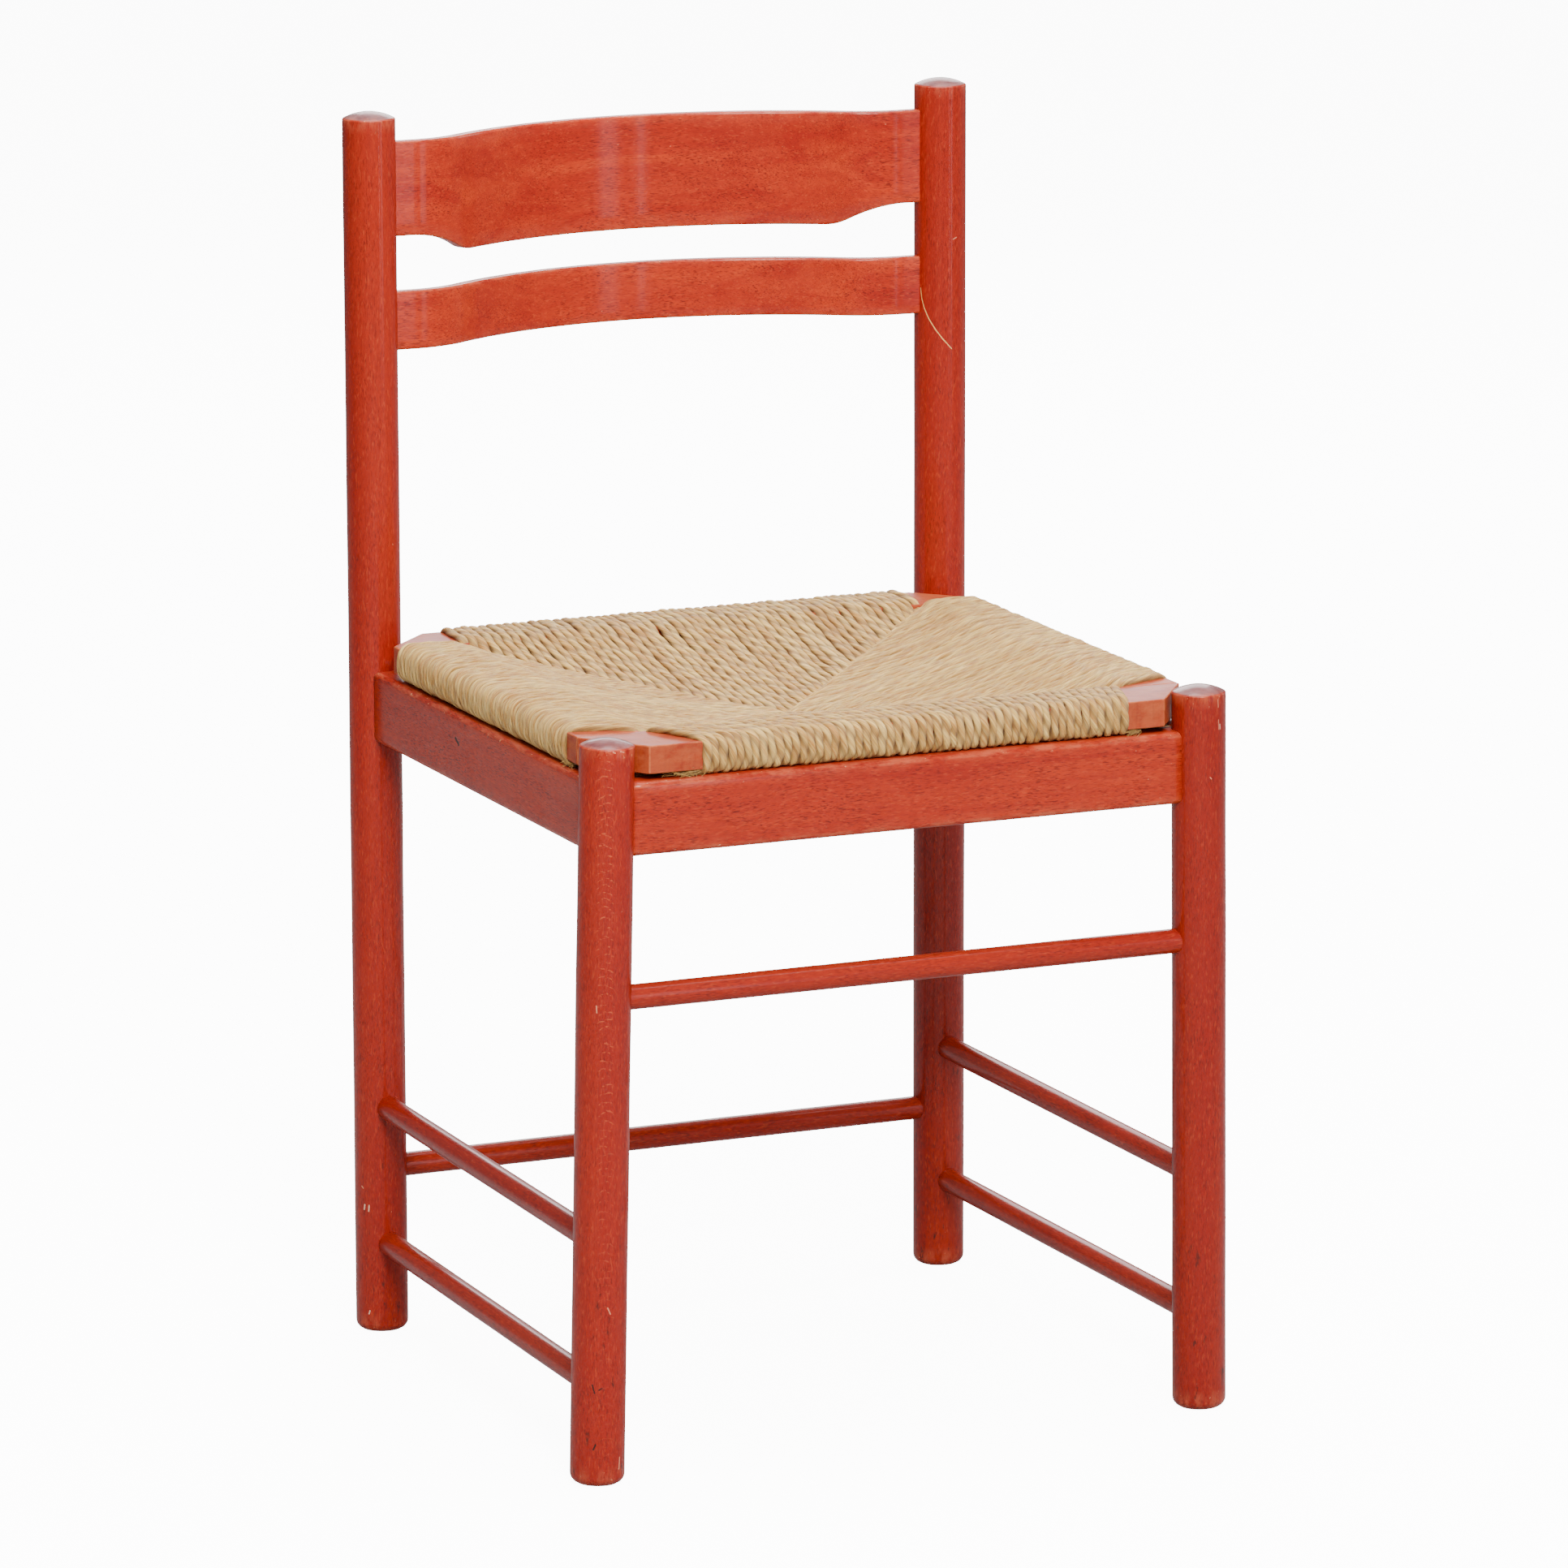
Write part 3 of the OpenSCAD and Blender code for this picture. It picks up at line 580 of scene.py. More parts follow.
def rush(name, matted, seed):
    """Dry twisted rush. The "fibre" attribute follows the strands: round the cord, then along it."""
    paint = Paint(name)
    fibre = paint.attribute("fibre", "Vector")
    shift = (seed, seed * 2.0, 0)
    fine = paint.streaks(fibre, (5.5, 5.5, 15), shift, detail=4, rough=0.68)
    wide = paint.streaks(fibre, (1.8, 1.8, 9), shift, detail=3, rough=0.6)
    hair = paint.streaks(fibre, (13, 13, 20), shift, detail=3, rough=0.72)
    lot = paint.attribute("tone")
    tone = paint.mix(paint.span(fine, 0.40, 0.60), RUSH_TAN, RUSH_STRAW)
    tone = paint.mix(paint.span(wide, 0.44, 0.64, 0, 0.9), tone, RUSH_PALE)
    tone = paint.mix(paint.span(lot, 0.0, 0.45, 0.45, 0.0), tone, RUSH_TAN)
    tone = paint.mix(paint.span(lot, 0.62, 1.0, 0.0, 0.45), tone, RUSH_PALE)
    tint = paint.streaks(fibre, (1.1, 1.1, 9), (seed + 9, 0, 4), detail=2)
    tone = paint.mix(paint.span(tint, 0.58, 0.75, 0, 0.35), tone, RUSH_GREEN)
    tone = paint.mix(paint.span(tint, 0.47, 0.30, 0, 0.62), tone, RUSH_BROWN)
    tone = paint.mix(paint.span(hair, 0.55, 0.68, 0, 0.62), tone, RUSH_UMBER_AND_SHADE)
    tone = paint.mix(paint.span(hair, 0.44, 0.32, 0, 0.65), tone, RUSH_PALEST)
    if matted:
        strand = paint.streaks(fibre, (2.6, 2.6, 6), (seed, 7, 2), detail=3, rough=0.6)
        tone = paint.mix(paint.span(strand, 0.56, 0.70, 0, 0.55), tone, MAT_PALE)
        tone = paint.mix(paint.span(strand, 0.45, 0.32, 0, 0.60), tone, MAT_BROWN)
    # Painted shade: the cords are darkened in their plies' valleys, along their sides and at their ends.
    groove_shade = paint.attribute("groove_shade")
    tone = paint.mix(paint.times(groove_shade, 0.66 if matted else 0.74), tone, RUSH_UMBER_AND_SHADE)
    height = paint.math("MULTIPLY_ADD", hair, 0.5, fine)
    paint.bump(height, 0.8, 1.1 * MM)
    paint.surface(tone, paint.span(fine, 0.3, 0.7, 0.48, 0.66), specular=0.35, sheen=0.08)
    return paint.material


# ---------------------------------------------------------------- mesh building

def add_piece(name, points, faces, material, body, attributes=None, stands_for=()):
    """A smooth-shaded mesh piece that rides on a CAD body."""
    mesh = bpy.data.meshes.new(name)
    mesh.from_pydata([tuple(p) for p in np.asarray(points, float)], [], faces)
    mesh.validate()
    mesh.polygons.foreach_set("use_smooth", np.ones(len(mesh.polygons), bool))
    for key, values in (attributes or {}).items():
        values = np.asarray(values, np.float32)
        kind = "FLOAT_VECTOR" if values.ndim == 2 else "FLOAT"
        layer = mesh.attributes.new(key, kind, "POINT")
        layer.data.foreach_set("vector" if values.ndim == 2 else "value", values.ravel())
    mesh.materials.append(material)
    piece = bpy.data.objects.new(name, mesh)
    bpy.context.collection.objects.link(piece)
    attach(piece, body)
    if stands_for:
        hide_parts(*stands_for)
    return piece


def tube_faces(rings, around, start=0):
    """Quads between closed rings of points, and a face over each end."""
    faces = []
    for i in range(rings - 1):
        a, b = start + i * around, start + (i + 1) * around
        for k in range(around):
            n = (k + 1) % around
            faces.append((a + k, a + n, b + n, b + k))
    last = start + (rings - 1) * around
    faces.append(tuple(start + k for k in reversed(range(around))))
    faces.append(tuple(last + k for k in range(around)))
    return faces


def arc(centre, radius, start, end, steps):
    """Points on a plan arc, angles in degrees."""
    angles = np.radians(np.linspace(start, end, steps))
    return [(centre[0] + radius * math.cos(a), centre[1] + radius * math.sin(a)) for a in angles]


def slow_noise(count, reach, amount, rng):
    """A smooth random line of that many values, changing about every reach values."""
    knots = rng.normal(0, 1, max(4, int(count / reach) + 3))
    places = np.linspace(0, len(knots) - 1, count)
    left = np.clip(places.astype(int), 0, len(knots) - 2)
    share = places - left
    share = share * share * (3 - 2 * share)
    return amount * (knots[left] * (1 - share) + knots[left + 1] * share)


def seed_of(name):
    """A number that a name always gives, so that each run draws the same random numbers."""
    total = 0
    for letter in name:
        total = (total * 31 + ord(letter)) % 1000003
    return total


def turned(name, foot, top, outline, material, around):
    """A turned piece of the frame, very slightly out of round. Its outline gives, for each ring, the
    radius, the distance from the foot, how worn it is and how much end grain it shows."""
    rng = np.random.default_rng(seed_of(f"{name}_turned"))
    axis = (top - foot) / np.linalg.norm(top - foot)
    side = np.cross(axis, [0, 1, 0] if abs(axis[1]) < 0.9 else [1, 0, 0])
    side /= np.linalg.norm(side)
    up = np.cross(axis, side)
    sway = [slow_noise(len(outline), 9, 0.05 * MM, rng) for _ in range(2)]
    angles = np.linspace(0, 2 * math.pi, around, endpoint=False)
    points = []
    for i, (r, s, _, _) in enumerate(outline):
        lobe = sway[0][i] * np.cos(2 * angles) + sway[1][i] * np.sin(3 * angles)
        radii = r + lobe * min(1.0, r / LEG_R)
        ring = np.outer(radii * np.cos(angles), side) + np.outer(radii * np.sin(angles), up)
        points.append(foot + axis * s + ring)
    edge, endgrain = (np.repeat([ring[column] for ring in outline], around) for column in (2, 3))
    return add_piece(f"{name}_turned", np.vstack(points), tube_faces(len(outline), around), material,
                     "frame", {"edge": edge, "endgrain": endgrain}, (name,))


def leg_outline(length):
    """Flat foot with a rounded edge, straight side, crisp rim and low dome."""
    dome_r = (LEG_R ** 2 + DOME_H ** 2) / (2 * DOME_H)
    outline = [(0.2 * MM, 0.0, 0.2, 0), (LEG_R - FOOT_ROUND, 0.0, 0.6, 0)]
    for a in np.radians([20, 40, 60, 75, 90]):
        outline.append((LEG_R - FOOT_ROUND * (1 - math.sin(a)), FOOT_ROUND * (1 - math.cos(a)), 0.75, 0))
    shaft_end = length - DOME_H - DOME_RIM
    steps = int((shaft_end - FOOT_ROUND) / (8 * MM))
    outline += [(LEG_R, s, 0.0, 0) for s in np.linspace(FOOT_ROUND, shaft_end, steps)[1:-1]]
    outline.append((LEG_R, shaft_end, 0.8, 0))
    for a in np.radians([22.5, 45, 67.5]):
        outline.append((LEG_R - DOME_RIM * (1 - math.cos(a)), shaft_end + DOME_RIM * math.sin(a), 1.0, 0))
    tilt = math.asin((LEG_R - DOME_RIM) / dome_r)
    for share in (1.0, 0.93, 0.8, 0.64, 0.46, 0.28, 0.12, 0.01):
        a = tilt * share
        worn = 0.7 if share > 0.9 else 0.15
        end_grain = 0 if share > 0.95 else 1
        outline.append((dome_r * math.sin(a), length - dome_r * (1 - math.cos(a)), worn, end_grain))
    return outline


def rod_outline(length):
    """A straight rod with eased ends."""
    ease = STRETCHER_EASE
    outline = [(0.2 * MM, 0), (STRETCHER_R - ease, 0), (STRETCHER_R, ease)]
    outline += [(STRETCHER_R, s) for s in np.linspace(ease, length - ease, 42)[1:]]
    outline += [(STRETCHER_R - ease, length), (0.2 * MM, length)]
    return [(r, s, 0.0, 0) for r, s in outline]


def rounded_box(width, height, rounds, steps=4):
    """Outline of a rectangle from (0, 0), one rounding per corner, anticlockwise from (0, 0).
    Each point also has how worn it is."""
    corners = [((0, 0), (1, 1), 180), ((width, 0), (-1, 1), 270),
               ((width, height), (-1, -1), 0), ((0, height), (1, -1), 90)]
    points, edges = [], []
    for (corner, inward, start), radius in zip(corners, rounds):
        centre = (corner[0] + inward[0] * radius, corner[1] + inward[1] * radius)
        points += arc(centre, radius, start, start + 90, steps + 1)
        edges += [0.25] + [1.0] * (steps - 1) + [0.25]
    return points, edges


def split_runs(points, edges, parts):
    """Splits a closed outline's runs: parts(i, length) says into how many run i is cut."""
    out, worn = [], []
    for i, (p, q) in enumerate(zip(points, points[1:] + points[:1])):
        out.append(p)
        worn.append(edges[i])
        count = parts(i, math.dist(p, q))
        for k in range(1, count):
            t = k / count
            out.append((p[0] + (q[0] - p[0]) * t, p[1] + (q[1] - p[1]) * t))
            worn.append(0.0)
    return out, worn


def swept(name, suffix, stations, section_at, material):
    """A bar of the frame: stations are (centre, sideways, upward), section_at(i) gives (points, edges)."""
    points, worn = [], []
    for i, (centre, sideways, upward) in enumerate(stations):
        section, edges = section_at(i)
        points += [centre + sideways * u + upward * v for u, v in section]
        worn += edges
    piece = add_piece(f"{name}_{suffix}", points, tube_faces(len(stations), len(section)), material,
                      "frame", {"edge": worn}, (name,))
    face_outward(piece)


def face_outward(piece):
    """Turns a closed piece's faces so that they look out."""
    work = bmesh.new()
    work.from_mesh(piece.data)
    bmesh.ops.recalc_face_normals(work, faces=work.faces)
    work.to_mesh(piece.data)
    work.free()


# ---------------------------------------------------------------- the fixed frame

CHIP = (0.52, 0.17, 0.095)
PALE_CHIP = (0.64, 0.36, 0.25)
DENT = (0.03, 0.008, 0.006)
SCRATCH = (0.66, 0.36, 0.12)
BARE_WOOD = (0.80, 0.75, 0.72)


def on_leg(name, height, angle, out=0.0):
    """A point out from a leg's surface: angle in degrees in plan, 0 towards +X and -90 towards -Y."""
    foot, top = leg_axis(name)
    centre = foot + (top - foot) * height / top[2]
    turn = math.radians(angle)
    return tuple(centre + np.array([math.cos(turn), math.sin(turn), 0]) * (LEG_R + out))


def leg_marks():
    """Chips, dents and scratches: (leg, from height and angle, to height and angle, radius, colour)."""
    fl, fr, rl, rr = "front_leg_left", "front_leg_right", "rear_post_left", "rear_post_right"
    return [
        (fl, (0.4628, -100), (0.4622, -96), 0.45 * MM, CHIP),
        (fl, (0.4628, -84), (0.4622, -76), 0.45 * MM, CHIP),
        (fl, (0.305, -128), (0.301, -127), 0.5 * MM, CHIP),
        (fl, (0.115, -96), (0.111, -90), 0.45 * MM, CHIP),
        (fl, (0.018, -60), (0.011, -62), 0.5 * MM, CHIP),
        (fl, (0.028, -118), (0.025, -122), 0.6 * MM, DENT),
        (fl, (0.066, -126), (0.061, -121), 0.5 * MM, DENT),
        (fl, (0.063, -112), (0.064, -106), 0.4 * MM, DENT),
        (fr, (0.461, -72), (0.456, -71), 0.28 * MM, CHIP),
        (fr, (0.448, -70), (0.442, -69), 0.32 * MM, CHIP),
        (fr, (0.445, -66), (0.442, -65), 0.35 * MM, PALE_CHIP),
        (fr, (0.412, -92), (0.411, -89), 0.35 * MM, CHIP),
        (rl, (0.083, -152), (0.086, -150), 0.6 * MM, PALE_CHIP),
        (rl, (0.082, -140), (0.086, -139), 0.5 * MM, PALE_CHIP),
        (rl, (0.013, -142), (0.015, -140), 0.5 * MM, PALE_CHIP),
        (rl, (0.098, -158), (0.097, -154), 0.5 * MM, CHIP),
        (rr, (0.6955, -84), (0.6965, -76), 0.4 * MM, CHIP),
    ]


def long_scratch():
    """The thin curved scratch on the right rear post, as short straight streaks."""
    count, high, drop = 6, 0.6626, 0.0395
    shares = [i / count for i in range(count + 1)]
    ends = [on_leg("rear_post_right", high - drop * t, -163 + 75 * t ** 1.7) for t in shares]
    return [(a, b, 0.38 * MM, SCRATCH) for a, b in zip(ends, ends[1:])]


# How deep the stain is on each leg and post; the right front leg's lower value is painted shade that
# darkens the whole leg.
LEG_DEPTH_AND_SHADE = {
    "front_leg_left": 0.98,
    "front_leg_right": 0.84,
    "rear_post_left": 0.98,
    "rear_post_right": 0.96,
}


def build_legs():
    """The turned legs and posts, each with its own marks."""
    for i, (name, depth) in enumerate(LEG_DEPTH_AND_SHADE.items()):
        marks = [(on_leg(leg, *a), on_leg(leg, *b), radius, colour)
                 for leg, a, b, radius, colour in leg_marks() if leg == name]
        if name == "rear_post_right":
            marks += long_scratch()
        figure = on_leg(name, 0.4, -112, -LEG_R) if name == "front_leg_left" else None
        material = stained_beech(f"red_beech_{name}", "Z", 3.1 + i * 5.3, depth, marks,
                                 dirt=0.9, warm=0.35, figure=figure)
        foot, top = leg_axis(name)
        turned(name, foot, top, leg_outline(np.linalg.norm(top - foot)), material, 96)


def build_stretchers():
    """The six round stretchers."""
    for i, name in enumerate(("front_stretcher", "rear_stretcher", "left_upper_stretcher",
                              "left_lower_stretcher", "right_upper_stretcher", "right_lower_stretcher")):
        axis = "X" if name.startswith(("front", "rear")) else "Y"
        material = stained_beech(f"red_beech_{name}", axis, 31 + i * 3.7, 0.9, warm=0.5)
        start, end = stretcher_axis(name)
        turned(name, start, end, rod_outline(np.linalg.norm(end - start)), material, 40)


def rail_marks(name, low, high):
    """The dent in the left rail and the chip in the front one."""
    if name == "left_rail":
        spot = np.array([low[0], low[1] + (high[1] - low[1]) * 0.60, low[2] + 30 * MM])
        return [(tuple(spot), tuple(spot + np.array([0, -5 * MM, -3 * MM])), 1.2 * MM, DENT)]
    if name == "front_rail":
        spot = np.array([low[0] + (high[0] - low[0]) * 0.55, low[1] + 1.5 * MM, high[2] - 3 * MM])
        return [(tuple(spot), tuple(spot + np.array([1 * MM, 0, 0])), 0.7 * MM, PALE_CHIP)]
    return []


def build_rails():
    """The four seat rails, rounded along their outer edges."""
    for i, name in enumerate(("front_rail", "rear_rail", "left_rail", "right_rail")):
        low, high = node_box(name)
        crosswise = name in ("front_rail", "rear_rail")
        lengthwise, outward = np.array([1.0, 0, 0]), np.array([0, 1.0, 0])
        if not crosswise:
            lengthwise, outward = outward, lengthwise
        rounds = [RAIL_ROUND, RAIL_INNER_ROUND, RAIL_INNER_ROUND, RAIL_ROUND]
        if name in ("rear_rail", "right_rail"):
            rounds = [RAIL_INNER_ROUND, RAIL_ROUND, RAIL_ROUND, RAIL_INNER_ROUND]
        section, edges = rounded_box(RAIL_T, high[2] - low[2], rounds, 5)
        section, edges = split_runs(section, edges, lambda i, length: 1 + int(length / (6 * MM)))
        run = (high - low) @ lengthwise
        stations = [(low + lengthwise * s, outward, UP) for s in np.linspace(0, run, int(run / (8 * MM)))]
        material = stained_beech(f"red_beech_{name}", "X" if crosswise else "Y", 61 + i * 4.9, 1.0,
                                 rail_marks(name, low, high))
        swept(name, "shaped", stations, lambda k: (section, edges), material)


def slat_line():
    """Plan of a slat's middle line: points and sideways directions from left to right."""
    half = POST_X
    bend = half - SLAT_STRAIGHT
    angle = 2 * math.atan(SLAT_BOW / bend)
    radii = bend / math.sin(angle)
    mid_r = SLAT_MID_SHARE * radii
    end_r = radii - mid_r
    turns = []
    for t in np.linspace(0, 1, 16)[:-1]:
        turns.append((np.array([half - 2 * MM - t * (SLAT_STRAIGHT - 2 * MM), 0]), 0.0))
    for t in np.linspace(0, angle, 20)[:-1]:
        centre = np.array([bend, end_r])
        turns.append((centre + end_r * np.array([-math.sin(t), -math.cos(t)]), t))
    for t in np.linspace(angle, 0, 34):
        centre = np.array([0, SLAT_BOW - mid_r])
        turns.append((centre + mid_r * np.array([math.sin(t), math.cos(t)]), t))
    right = [(p, np.array([math.sin(t), math.cos(t)])) for p, t in turns]
    left = [(p * [-1, 1], n * [-1, 1]) for p, n in right[:-1]]
    return left + right[::-1]


def top_slat_underside(x):
    """Height of the top slat's lower edge above its lowest line: a step, down to a straight run."""
    from_post = SLAT_ROOT_X - abs(x)
    if from_post <= TOP_SLAT_LEVEL:
        return STEP_H
    if from_post < STEP_EASE_START:
        return STEP_H - STEP_R + math.sqrt(STEP_R ** 2 - (from_post - TOP_SLAT_LEVEL) ** 2)
    if from_post < STEP_END:
        return STEP_EASE_R - math.sqrt(STEP_EASE_R ** 2 - (STEP_END - from_post) ** 2)
    return 0.0


def build_slats():
    """The two bent back slats, with eased edges; the top one is cut away below its ends."""
    lean = np.array([0, math.sin(REAR_RAKE), math.cos(REAR_RAKE)])
    back = np.array([0, math.cos(REAR_RAKE), -math.sin(REAR_RAKE)])
    across = np.array([1.0, 0, 0])
    root = np.array([0, POST_Y, RAIL_TOP])
    post_rise = (POST_TOP[2] - RAIL_TOP) / math.cos(REAR_RAKE)
    top_z = post_rise - TOP_SLAT_DROP - TOP_SLAT_H
    low_z = top_z - SLAT_GAP - LOWER_SLAT_H
    # A bare chip near the top slat's left end, with a small one above it.
    spot = root + across * -152.5 * MM + back * (19.5 * MM - SLAT_T / 2) + lean * (top_z + 45 * MM)
    chips = [(spot, spot + [0.5 * MM, 0, -3 * MM], 0.7 * MM, BARE_WOOD),
             (spot + [-1 * MM, 0, 9 * MM], spot + [-1 * MM, 0, 8 * MM], 0.6 * MM, CHIP)]
    for name, base, height, seed in (("top_slat", top_z, TOP_SLAT_H, 90),
                                     ("lower_slat", low_z, LOWER_SLAT_H, 97)):
        top = name == "top_slat"
        stations, sections = [], []
        for point, normal in refined(slat_line()) if top else slat_line():
            lift = top_slat_underside(point[0]) if top else 0.0
            sideways = across * normal[0] + back * normal[1]
            centre = root + across * point[0] + back * point[1] + lean * (base + lift)
            stations.append((centre - sideways * SLAT_T / 2, sideways, lean))
            section, edges = rounded_box(SLAT_T, height - lift, [SLAT_ROUND] * 4)
            corner = len(section) // 4
            sections.append(split_runs(section, edges, lambda i, _: 8 if i % corner == corner - 1 else 1))
        material = stained_beech(f"red_beech_{name}", "X", seed, 1.08, chips if top else ())
        swept(name, "bent", stations, lambda k: sections[k], material)


def refined(line):
    """Cuts the steps of a slat's line in four where its lower edge changes height."""
    low, high = SLAT_ROOT_X - STEP_END - 3 * MM, SLAT_ROOT_X
    out = []
    for (p, n), (q, m) in zip(line, line[1:]):
        out.append((p, n))
        if low <= abs((p + q)[0] / 2) <= high:
            for t in (0.25, 0.5, 0.75):
                normal = n + (m - n) * t
                out.append((p + (q - p) * t, normal / np.linalg.norm(normal)))
    return out + [line[-1]]


# ---------------------------------------------------------------- the loose seat's wooden frame

def clipped(outline, point, normal):
    """The part of an outline behind the line through point with that normal."""
    out = []
    for p, q in zip(outline, outline[1:] + outline[:1]):
        dp, dq = (float((np.array(corner) - point) @ normal) for corner in (p, q))
        if dp <= 0:
            out.append(p)
        if dp * dq < 0:
            t = dp / (dp - dq)
            out.append((p[0] + (q[0] - p[0]) * t, p[1] + (q[1] - p[1]) * t))
    return out


def board(node, outline, material):
    """A flat board of the seat's frame with rounded edges, which are worn."""
    low, high = FRAME_LOW[2], FRAME_HIGH[2]
    work = bmesh.new()
    face = work.faces.new([work.verts.new((x, y, low)) for x, y in outline])
    made = bmesh.ops.extrude_face_region(work, geom=[face])
    lifted = [v for v in made["geom"] if isinstance(v, bmesh.types.BMVert)]
    bmesh.ops.translate(work, verts=lifted, vec=(0, 0, high - low))
    bmesh.ops.recalc_face_normals(work, faces=work.faces)
    bmesh.ops.bevel(work, geom=list(work.edges), offset=FRAME_ROUND, segments=3, profile=0.5,
                    affect="EDGES", clamp_overlap=True)
    flats = {f for f in work.faces if f.calc_area() > 60 * MM * MM}
    work.verts.index_update()
    worn = [0.3 if any(f in flats for f in v.link_faces) else 1.0 for v in work.verts]
    points = [tuple(v.co) for v in work.verts]
    faces = [tuple(v.index for v in f.verts) for f in work.faces]
    work.free()
    piece = add_piece(f"{node}_shaped", points, faces, material, "seat",
                      {"edge": worn}, (node,))
    piece.modifiers.new("even_shading", "WEIGHTED_NORMAL").keep_sharp = False


def cross_board(front):
    """Outline of the front or rear board, its outer corners cut to pass the legs, and its outer edge
    let in under the cord."""
    x = FRAME_HIGH[0]
    outer = FRAME_LOW[1] if front else FRAME_HIGH[1]
    inward = 1 if front else -1
    inner, inset = outer + inward * FRAME_W, outer + inward * FRAME_RELIEF
    a, b = ROLLS["front"] if front else (-ROLLS["rear"][1], ROLLS["rear"][1])
    outline = [(-x, inner), (-x, outer), (a, outer), (a, inset),
               (b, inset), (b, outer), (x, outer), (x, inner)]
    turn = FRONT_CUT if front else REAR_CUT
    gap = LEG_R + (FRONT_CUT_GAP if front else REAR_CUT_GAP)
    for side in (-1, 1):
        # The wood that stays is beyond the gap from the leg's centre along this direction.
        normal = np.array([math.cos(turn) * side, math.sin(turn)])
        leg = np.array([side * POST_X, FRONT_LEG_Y if front else POST_Y])
        outline = clipped(outline, leg + normal * gap, -normal)
    return outline


def side_board(side):
    """Outline of the left (-1) or right (1) board, between the front and rear ones."""
    outer, inner = side * FRAME_HIGH[0], side * (FRAME_HIGH[0] - FRAME_W)
    inset = outer - side * FRAME_RELIEF
    front, rear = FRAME_LOW[1] + FRAME_W, FRAME_HIGH[1] - FRAME_W
    wrap = ROLLS["left"][0]
    return [(inner, front), (outer, front), (outer, wrap), (inset, wrap), (inset, rear), (inner, rear)]


def build_seat_frame():
    """The four flat boards of the loose seat."""
    for word, axis, seed, outline in (("front", "X", 5.0, cross_board(True)),
                                      ("rear", "X", 9.0, cross_board(False)),
                                      ("left", "Y", 13.0, side_board(-1)),
                                      ("right", "Y", 15.0, side_board(1))):
        board(f"seat_{word}_piece", outline, seat_beech(f"seat_beech_{word}", axis, seed))


# ---------------------------------------------------------------- the rush

# Where the four seams meet: a little right of the middle and behind it.
CENTRE = np.array([5 * MM, (FRAME_LOW[1] + FRAME_HIGH[1]) / 2 + 8 * MM])
# The underside of the cords below the wooden frame; the web sags further than that.
ROLL_BOTTOM = FRAME_LOW[2] - 4.5 * MM
# How tightly a cord turns over the rim's edges.
EDGE_ROUND = 7.5 * MM
# From where to where the cords lie along each side's outer edge, between the bare corners.
SIDE_ROLL = (FRAME_LOW[1] + 58 * MM, FRAME_HIGH[1] - FRAME_W)
ROLLS = {
    "front": (WEAVE_LOW[0] + 68.7 * MM, WEAVE_HIGH[0] - 58.7 * MM),
    "rear": (WEAVE_LOW[0] + 47.7 * MM, WEAVE_HIGH[0] - 47.7 * MM),
    "left": SIDE_ROLL,
    "right": SIDE_ROLL,
}


class CordStyle(NamedTuple):
    """How many cords a side has and how they look. dive is how far a cord drops at its seam."""

    count: int
    width: float
    thick: float
    plies: int
    depth: float
    pitch: float
    wobble: float
    dive: float


ROPY_FRONT = CordStyle(54, 6.8 * MM, 4.8 * MM, 2, 0.25, 27 * MM, 0.25 * MM, 7 * MM)
ROPY_REAR = CordStyle(55, 6.8 * MM, 5.0 * MM, 2, 0.24, 33 * MM, 0.55 * MM, 7 * MM)
MATTED = CordStyle(60, 5.9 * MM, 4.9 * MM, 3, 0.15, 52 * MM, 0.45 * MM, 5 * MM)
STYLES = {"front": ROPY_FRONT, "rear": ROPY_REAR, "left": MATTED, "right": MATTED}


class Side:
    """One side of the seat: which way is out, and where its cords lie."""

    def __init__(self, name):
        sign = -1.0 if name in ("front", "left") else 1.0
        across, out = (0, 1) if name in ("front", "rear") else (1, 0)
        self.along, self.out = np.eye(3)[across], sign * np.eye(3)[out]
        self.outer = ROLLS[name]
        self.inner = (FRAME_LOW[across] + FRAME_W, FRAME_HIGH[across] - FRAME_W)
        self.middle = CENTRE[across]
        self.middle_out = CENTRE[out]
        edge, rim = (FRAME_LOW, WEAVE_LOW) if sign < 0 else (FRAME_HIGH, WEAVE_HIGH)
        self.reach_out = sign * (rim[out] - self.middle_out)
        self.reach_in = sign * (edge[out] - self.middle_out) - FRAME_W

    def lateral(self, share):
        """(at the outer edge, at the opening's edge, at the seam) for a cord that far along, and
        how far out from the middle its seam lies, as a share of the opening."""
        outer = self.outer[0] + (self.outer[1] - self.outer[0]) * share
        inner = self.inner[0] + (self.inner[1] - self.inner[0]) * share
        end = self.inner[0] if share < 0.5 else self.inner[1]
        t = abs(2 * share - 1)
        return outer, inner, self.middle + (end - self.middle) * t, t


def seam_height(t, top):
    """Height of the cords' middle line on a seam, t being 0 at the seat's middle and 1 at a corner."""
    dip = 1 - t ** 1.2
    if top:
        return WEAVE_HIGH[2] - 6.0 * MM - (SEAT_SAG - 1.5 * MM) * dip
    return ROLL_BOTTOM + 2.4 * MM - UNDER_SAG * dip


def quarter_turn(rim, level, lower):
    """Points of (distance out, height) round the upper or lower edge of the seat's rim."""
    r = EDGE_ROUND
    angles = np.radians([0, 22, 45, 68, 90])
    if lower:
        return [(rim - r + r * math.sin(a), level + r - r * math.cos(a)) for a in angles[::-1]]
    return [(rim - r + r * math.sin(a), level - r + r * math.cos(a)) for a in angles]


